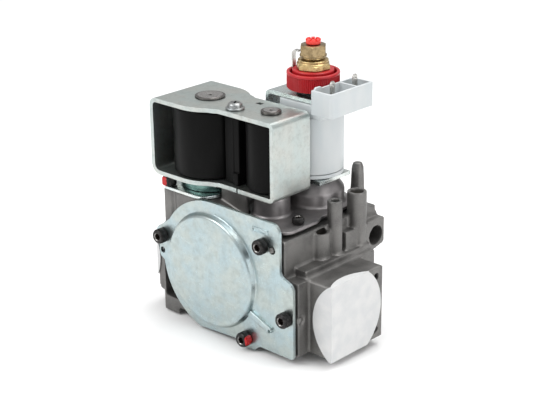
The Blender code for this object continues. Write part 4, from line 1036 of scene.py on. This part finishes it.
def modulator_ring():
    """Ribbed retaining ring with a recess and an inner hub under the brass adjuster."""
    low, high = corners("modulator_ring")
    radius = (high.x - low.x) / 2
    top = high.z - 0.9
    lip = top - 1.2
    profile = (
        (6.7, low.z), (radius - 0.4, low.z), (radius - 0.05, low.z + 0.4), (radius - 0.05, lip - 0.2),
        (radius, lip), (radius, top, 0.5), (radius - 1.5, top, 0.5), (radius - 1.6, low.z + 2.0, 0.6),
        (9.4, low.z + 2.0, 0.6), (9.4, high.z, 0.5), (6.7, high.z, 0.3),
    )
    ribs = (0.5, low.z + 0.3, lip - 0.1)
    ring = turned("ring", profile, MODULATOR, segments=168, steps=4, ribs=ribs)
    show(ring, "modulator_ring", RED_PLASTIC)


def hexagon(name, at, radius, low, high, phase, chamfer):
    """Hexagon whose corners are turned down by a cone, as on a real nut. chamfer is (below, above)."""
    prism = turned(name, ((0, low), (radius, low), (radius, high), (0, high)), at, segments=6, phase=phase)
    flat = radius * math.cos(math.radians(30)) - 0.1
    below, above = chamfer
    cone = (
        (0, low - 0.01), (flat if below else radius + 1, low - 0.01), (radius + 1, low + below),
        (radius + 1, high - above), (flat if above else radius + 1, high + 0.01), (0, high + 0.01),
    )
    boolean(prism, turned("cone", cone, at, segments=96), "INTERSECT")
    return prism


def adjuster_body():
    """Brass body: collar, hexagon foot on the ring and a beaded round top."""
    low, high = corners("adjuster_body")
    foot = corners("modulator_ring")[1].z + 0.3
    profile = (
        (4.0, low.z), (6.3, low.z), (6.3, foot), (7.2, foot), (7.2, foot + 2.6), (6.6, foot + 3.0, 0.4),
        (6.9, foot + 3.4, 0.4), (6.9, foot + 4.0, 0.4), (4.7, foot + 4.5, 0.4), (4.7, high.z),
        (4.0, high.z),
    )
    body = turned("body", profile, MODULATOR, segments=96, steps=5)
    foot_hex = hexagon("foot_hex", MODULATOR, 8.0, foot, foot + 2.4, math.radians(20), (0.0, 1.3))
    cut(foot_hex, rod("bore", MODULATOR, 5.0, foot - 1, foot + 4, segments=64))
    show(fuse(body, foot_hex), "adjuster_body", BRASS)


# From the axis of the nut to its corners
NUT_RADIUS = 6.3


def max_pressure_nut():
    low, high = corners("max_pressure_nut")
    nut = hexagon("nut", MODULATOR, NUT_RADIUS, low.z + 0.4, high.z, math.radians(8), (0.7, 1.0))
    flange = NUT_RADIUS - 0.2
    collar = ((0, low.z), (flange, low.z, 0.3), (flange, low.z + 1.0, 0.3), (0, low.z + 1.0))
    fuse(nut, turned("collar", collar, MODULATOR, segments=64))
    cut(nut, rod("bore", MODULATOR, 2.3, low.z - 1, high.z + 1, segments=48))
    show(nut, "max_pressure_nut", NUT_BRASS, "max_nut")


def min_pressure_screw():
    """Castellated plastic screw in the nut."""
    low, high = corners("min_pressure_screw")
    under = corners("max_pressure_nut")[1].z + 0.3
    profile = ((0, low.z), (1.9, low.z), (1.9, under), (3.3, under, 0.2), (3.4, high.z, 0.35), (0, high.z))
    screw = turned("screw", profile, MODULATOR, segments=72, steps=4)
    cut(screw, rod("socket", MODULATOR, 1.7, high.z - 1.5, high.z + 1, segments=48))
    for index in range(4):
        notch = block("notch", (-5, 5), (-0.45, 0.45), (high.z - 0.9, high.z + 1))
        turn = Matrix.Rotation(math.radians(20 + 45 * index), 4, "Z")
        notch.matrix_world = Matrix.Translation(Vector(MODULATOR) * MM) @ turn
        cut(screw, notch)
    show(screw, "min_pressure_screw", RED_SCREW, "min_screw")


def test_screws():
    """Slotted sealing screws in the two pressure test nozzles."""
    for name in ("outlet", "inlet"):
        node = f"{name}_test_screw"
        low, high = corners(node)
        at = axis_of(node)
        radius = (high.x - low.x) / 2
        profile = ((0, low.z), (1.2, low.z), (radius, low.z + 2.2), (radius, high.z, 0.3), (0, high.z))
        screw = turned("screw", profile, at)
        slot = ((at[0] - 4, at[0] + 4), (at[1] - 0.4, at[1] + 0.4), (high.z - 1.0, high.z + 2))
        cut(screw, block("slot", *slot))
        # The test screws get darkened brass as painted shade inside the nozzle bores.
        show(screw, node, BRASS_IN_PAINTED_SHADE, f"{name}_screw")


def port_seal(node, side, offset_y, offset_z):
    """Round paper sticker over a port; what overhangs the flange is folded onto its edges."""
    skin, glue = 0.4, 0.1
    radius = 22.0
    reach = FLANGE_SIDE / 2 + glue
    edge = side * (FLANGE_FACE_X + glue)
    outer = side * (FLANGE_FACE_X + glue + skin)
    y, z = PORT[0] + offset_y, PORT[1] + offset_z
    seal = plate(node, arc((y, z), radius, 0, 357, 119), "x", *sorted((edge, outer)))
    far = 200
    everywhere = (-far, far)
    for sign in (-1, 1):
        # The fold on each edge is the same disc, turned about that edge.
        centre = (edge + side * (reach - sign * offset_y), z)
        limits = sorted((PORT[0] + sign * reach, PORT[0] + sign * (reach + skin)))
        fuse(seal, plate("fold", arc(centre, radius, 0, 357, 119), "y", *limits))
        centre = (edge + side * (reach - sign * offset_z), y)
        limits = sorted((PORT[1] + sign * reach, PORT[1] + sign * (reach + skin)))
        fuse(seal, plate("fold", arc(centre, radius - 0.3, 2, 359, 119), "z", *limits))
    cut(seal, block("beyond", sorted((outer, side * far)), everywhere, everywhere))
    for sign in (-1, 1):
        past_y = sorted((PORT[0] + sign * (reach + skin), sign * far))
        past_z = sorted((PORT[1] + sign * (reach + skin), sign * far))
        cut(seal, block("past", everywhere, past_y, everywhere))
        cut(seal, block("past", everywhere, everywhere, past_z))
    show(seal, node, PAPER)


# ---- springs

# Node, direction of the fixed end, wire radius, turns, joint and its stroke
SPRINGS = (
    ("ev1_spring", UP, 0.35, 4, "ev1_lift", 2.0),
    ("ev2_spring", UP, 0.25, 4, "ev2_lift", 1.2),
    ("main_valve_spring", (0, 1, 0), 0.4, 4, "main_valve_open", 2.5),
)


def coil_spring(node, axis, wire, turns, joint, stroke):
    """Round-wire compression spring with close end turns."""
    low, high = corners(node)
    middle = (low + high) / 2
    length = abs((high - low).dot(Vector(axis)))
    radius = (high.x - low.x) / 2 - wire
    steps = 30 * turns
    sides = 12
    bm = bmesh.new()
    rings = []
    for step in range(steps + 1):
        share = step / steps
        angle = 2 * math.pi * turns * share
        eased = share - 0.6 * math.sin(2 * math.pi * share) / (2 * math.pi)
        height = (length - 2 * wire) * (eased - 0.5)
        ring = []
        for side in range(sides):
            turn = 2 * math.pi * side / sides
            reach = radius + wire * math.cos(turn)
            place = (reach * math.cos(angle), reach * math.sin(angle), height + wire * math.sin(turn))
            ring.append(bm.verts.new(place))
        rings.append(ring)
    for first, second in zip(rings, rings[1:]):
        for side in range(sides):
            after = (side + 1) % sides
            bm.faces.new((first[side], first[after], second[after], second[side]))
    bm.faces.new(rings[0])
    bm.faces.new(rings[-1])
    bmesh.ops.transform(bm, matrix=Matrix.Translation(middle) @ axis_matrix(axis), verts=bm.verts)
    spring = show(new_object("spring", bm), node, STEEL)
    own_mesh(spring)


# ---- CAD nodes kept as they are

KEPT = {
    STEEL: (
        "inlet_filter", "ev1_plunger", "ev2_plunger", "range_spring", "modulator_guide_tube",
        "modulator_armature",
    ),
    # The adjuster collar is steel; it wears the black oxide only as painted shade where it sits under the
    # ring.
    BLACK_OXIDE_AND_PAINTED_SHADE: ("adjuster_collar",),
    TAB_STEEL: ("adjuster_clip",),
    BRASS: (
        "coil_terminal_1", "coil_terminal_2", "coil_terminal_3", "range_spring_seat", "main_valve_stem",
    ),
    BRACKET_ZINC: ("diaphragm_plate",),
    RUBBER: (
        "main_cover_gasket", "servo_cover_gasket", "main_diaphragm", "servo_diaphragm", "ev1_valve_disc",
    ),
    COPPER: ("modulator_winding",),
}


def dress_kept_nodes():
    for material, nodes in KEPT.items():
        for node in nodes:
            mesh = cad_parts[node].data
            mesh.materials.clear()
            mesh.materials.append(material)


# ---- studio

# Camera place in metres, its azimuth, tilt and roll in degrees, and its lens in millimetres
CAMERA_AT = (0.40841, -0.43386, 0.28875)
CAMERA_TURNS = ((43.47, "Z"), (90 - 21.02, "X"), (-0.718, "Z"))
CAMERA_LENS = 93.74
HORIZON_LIGHT = 0.45
ZENITH_LIGHT = 0.75
FLOOR_HALF = 6000
LIGHTS_AIM = (0, 0, 0.06)
# Name, place and size in metres, and power in watts
LIGHTS = (
    ("key", (-0.35, -0.75, 0.75), (0.6, 0.6), 6.0),
    ("top", (0.1, 0.25, 0.95), (0.9, 0.6), 6.2),
    ("side", (0.95, 0.1, 0.35), (0.5, 0.7), 2.5),
)


def camera():
    data = bpy.data.cameras.new("camera")
    data.sensor_width = 36
    data.lens = CAMERA_LENS
    data.clip_start = 0.01
    obj = bpy.data.objects.new("camera", data)
    bpy.context.scene.collection.objects.link(obj)
    place = Matrix.Translation(CAMERA_AT)
    for angle, axis in CAMERA_TURNS:
        place @= Matrix.Rotation(math.radians(angle), 4, axis)
    obj.matrix_world = place
    bpy.context.scene.camera = obj


def softbox(name, place, size, power):
    """Rectangular soft light that points at the middle of the valve."""
    data = bpy.data.lights.new(name, "AREA")
    data.shape = "RECTANGLE"
    data.size, data.size_y = size
    data.energy = power
    obj = bpy.data.objects.new(name, data)
    bpy.context.scene.collection.objects.link(obj)
    obj.location = place
    obj.rotation_mode = "QUATERNION"
    obj.rotation_quaternion = (Vector(LIGHTS_AIM) - Vector(place)).to_track_quat("-Z", "Y")


def studio():
    """White floor and sky with large soft lights."""
    world = bpy.data.worlds.new("studio")
    bpy.context.scene.world = world
    world.use_nodes = True
    nodes, links = world.node_tree.nodes, world.node_tree.links
    background = nodes["Background"]
    place = nodes.new("ShaderNodeTexCoord")
    parts = nodes.new("ShaderNodeSeparateXYZ")
    links.new(place.outputs["Generated"], parts.inputs[0])
    sky = nodes.new("ShaderNodeMapRange")
    sky.inputs["From Max"].default_value = 0.9
    sky.inputs["To Min"].default_value = HORIZON_LIGHT
    sky.inputs["To Max"].default_value = ZENITH_LIGHT
    links.new(parts.outputs["Z"], sky.inputs["Value"])
    # The backdrop itself stays white; only the light that it gives fades towards the horizon.
    seen = nodes.new("ShaderNodeLightPath")
    strength = nodes.new("ShaderNodeMix")
    links.new(seen.outputs["Is Camera Ray"], strength.inputs[0])
    links.new(sky.outputs["Result"], strength.inputs[2])
    strength.inputs[3].default_value = 1.0
    links.new(strength.outputs[0], background.inputs["Strength"])
    background.inputs["Color"].default_value = (1, 1, 1, 1)
    for light in LIGHTS:
        softbox(*light)
    bm = bmesh.new()
    bmesh.ops.create_grid(bm, x_segments=1, y_segments=1, size=FLOOR_HALF)
    floor = new_object("floor", bm)
    tree = Tree("floor_white")
    cloud = tree.noise(400.0)
    white = tree.mix(cloud, (0.93, 0.93, 0.93), (0.95, 0.95, 0.95))
    tree.finish(white, tree.spread(cloud, 0, 1, 0.7, 0.8), edge=0)
    floor.data.materials.append(tree.material)
    bpy.context.scene.view_settings.view_transform = "Standard"


camera()
studio()
casting()
main_cover()
all_cap_screws()
yoke_screw()
servo_cover()
ev1_base_plate()
guide_tubes()
pole("ev1_pole", EV1, 6.9, 4.9)
pole("ev2_pole", EV2, 4.3, 2.9)
coil("ev1_coil", EV1, 8.2)
coil("ev2_coil", EV2, 5.5)
coil_terminal_block()
yoke()
modulator_bracket()
modulator_bobbin()
modulator_sleeve()
modulator_terminals()
modulator_ring()
adjuster_body()
max_pressure_nut()
min_pressure_screw()
test_screws()
port_seal("inlet_port_seal", -1, 2.7, 1.5)
port_seal("outlet_port_seal", 1, -6.1, 0.0)
for spring_data in SPRINGS:
    coil_spring(*spring_data)
dress_kept_nodes()
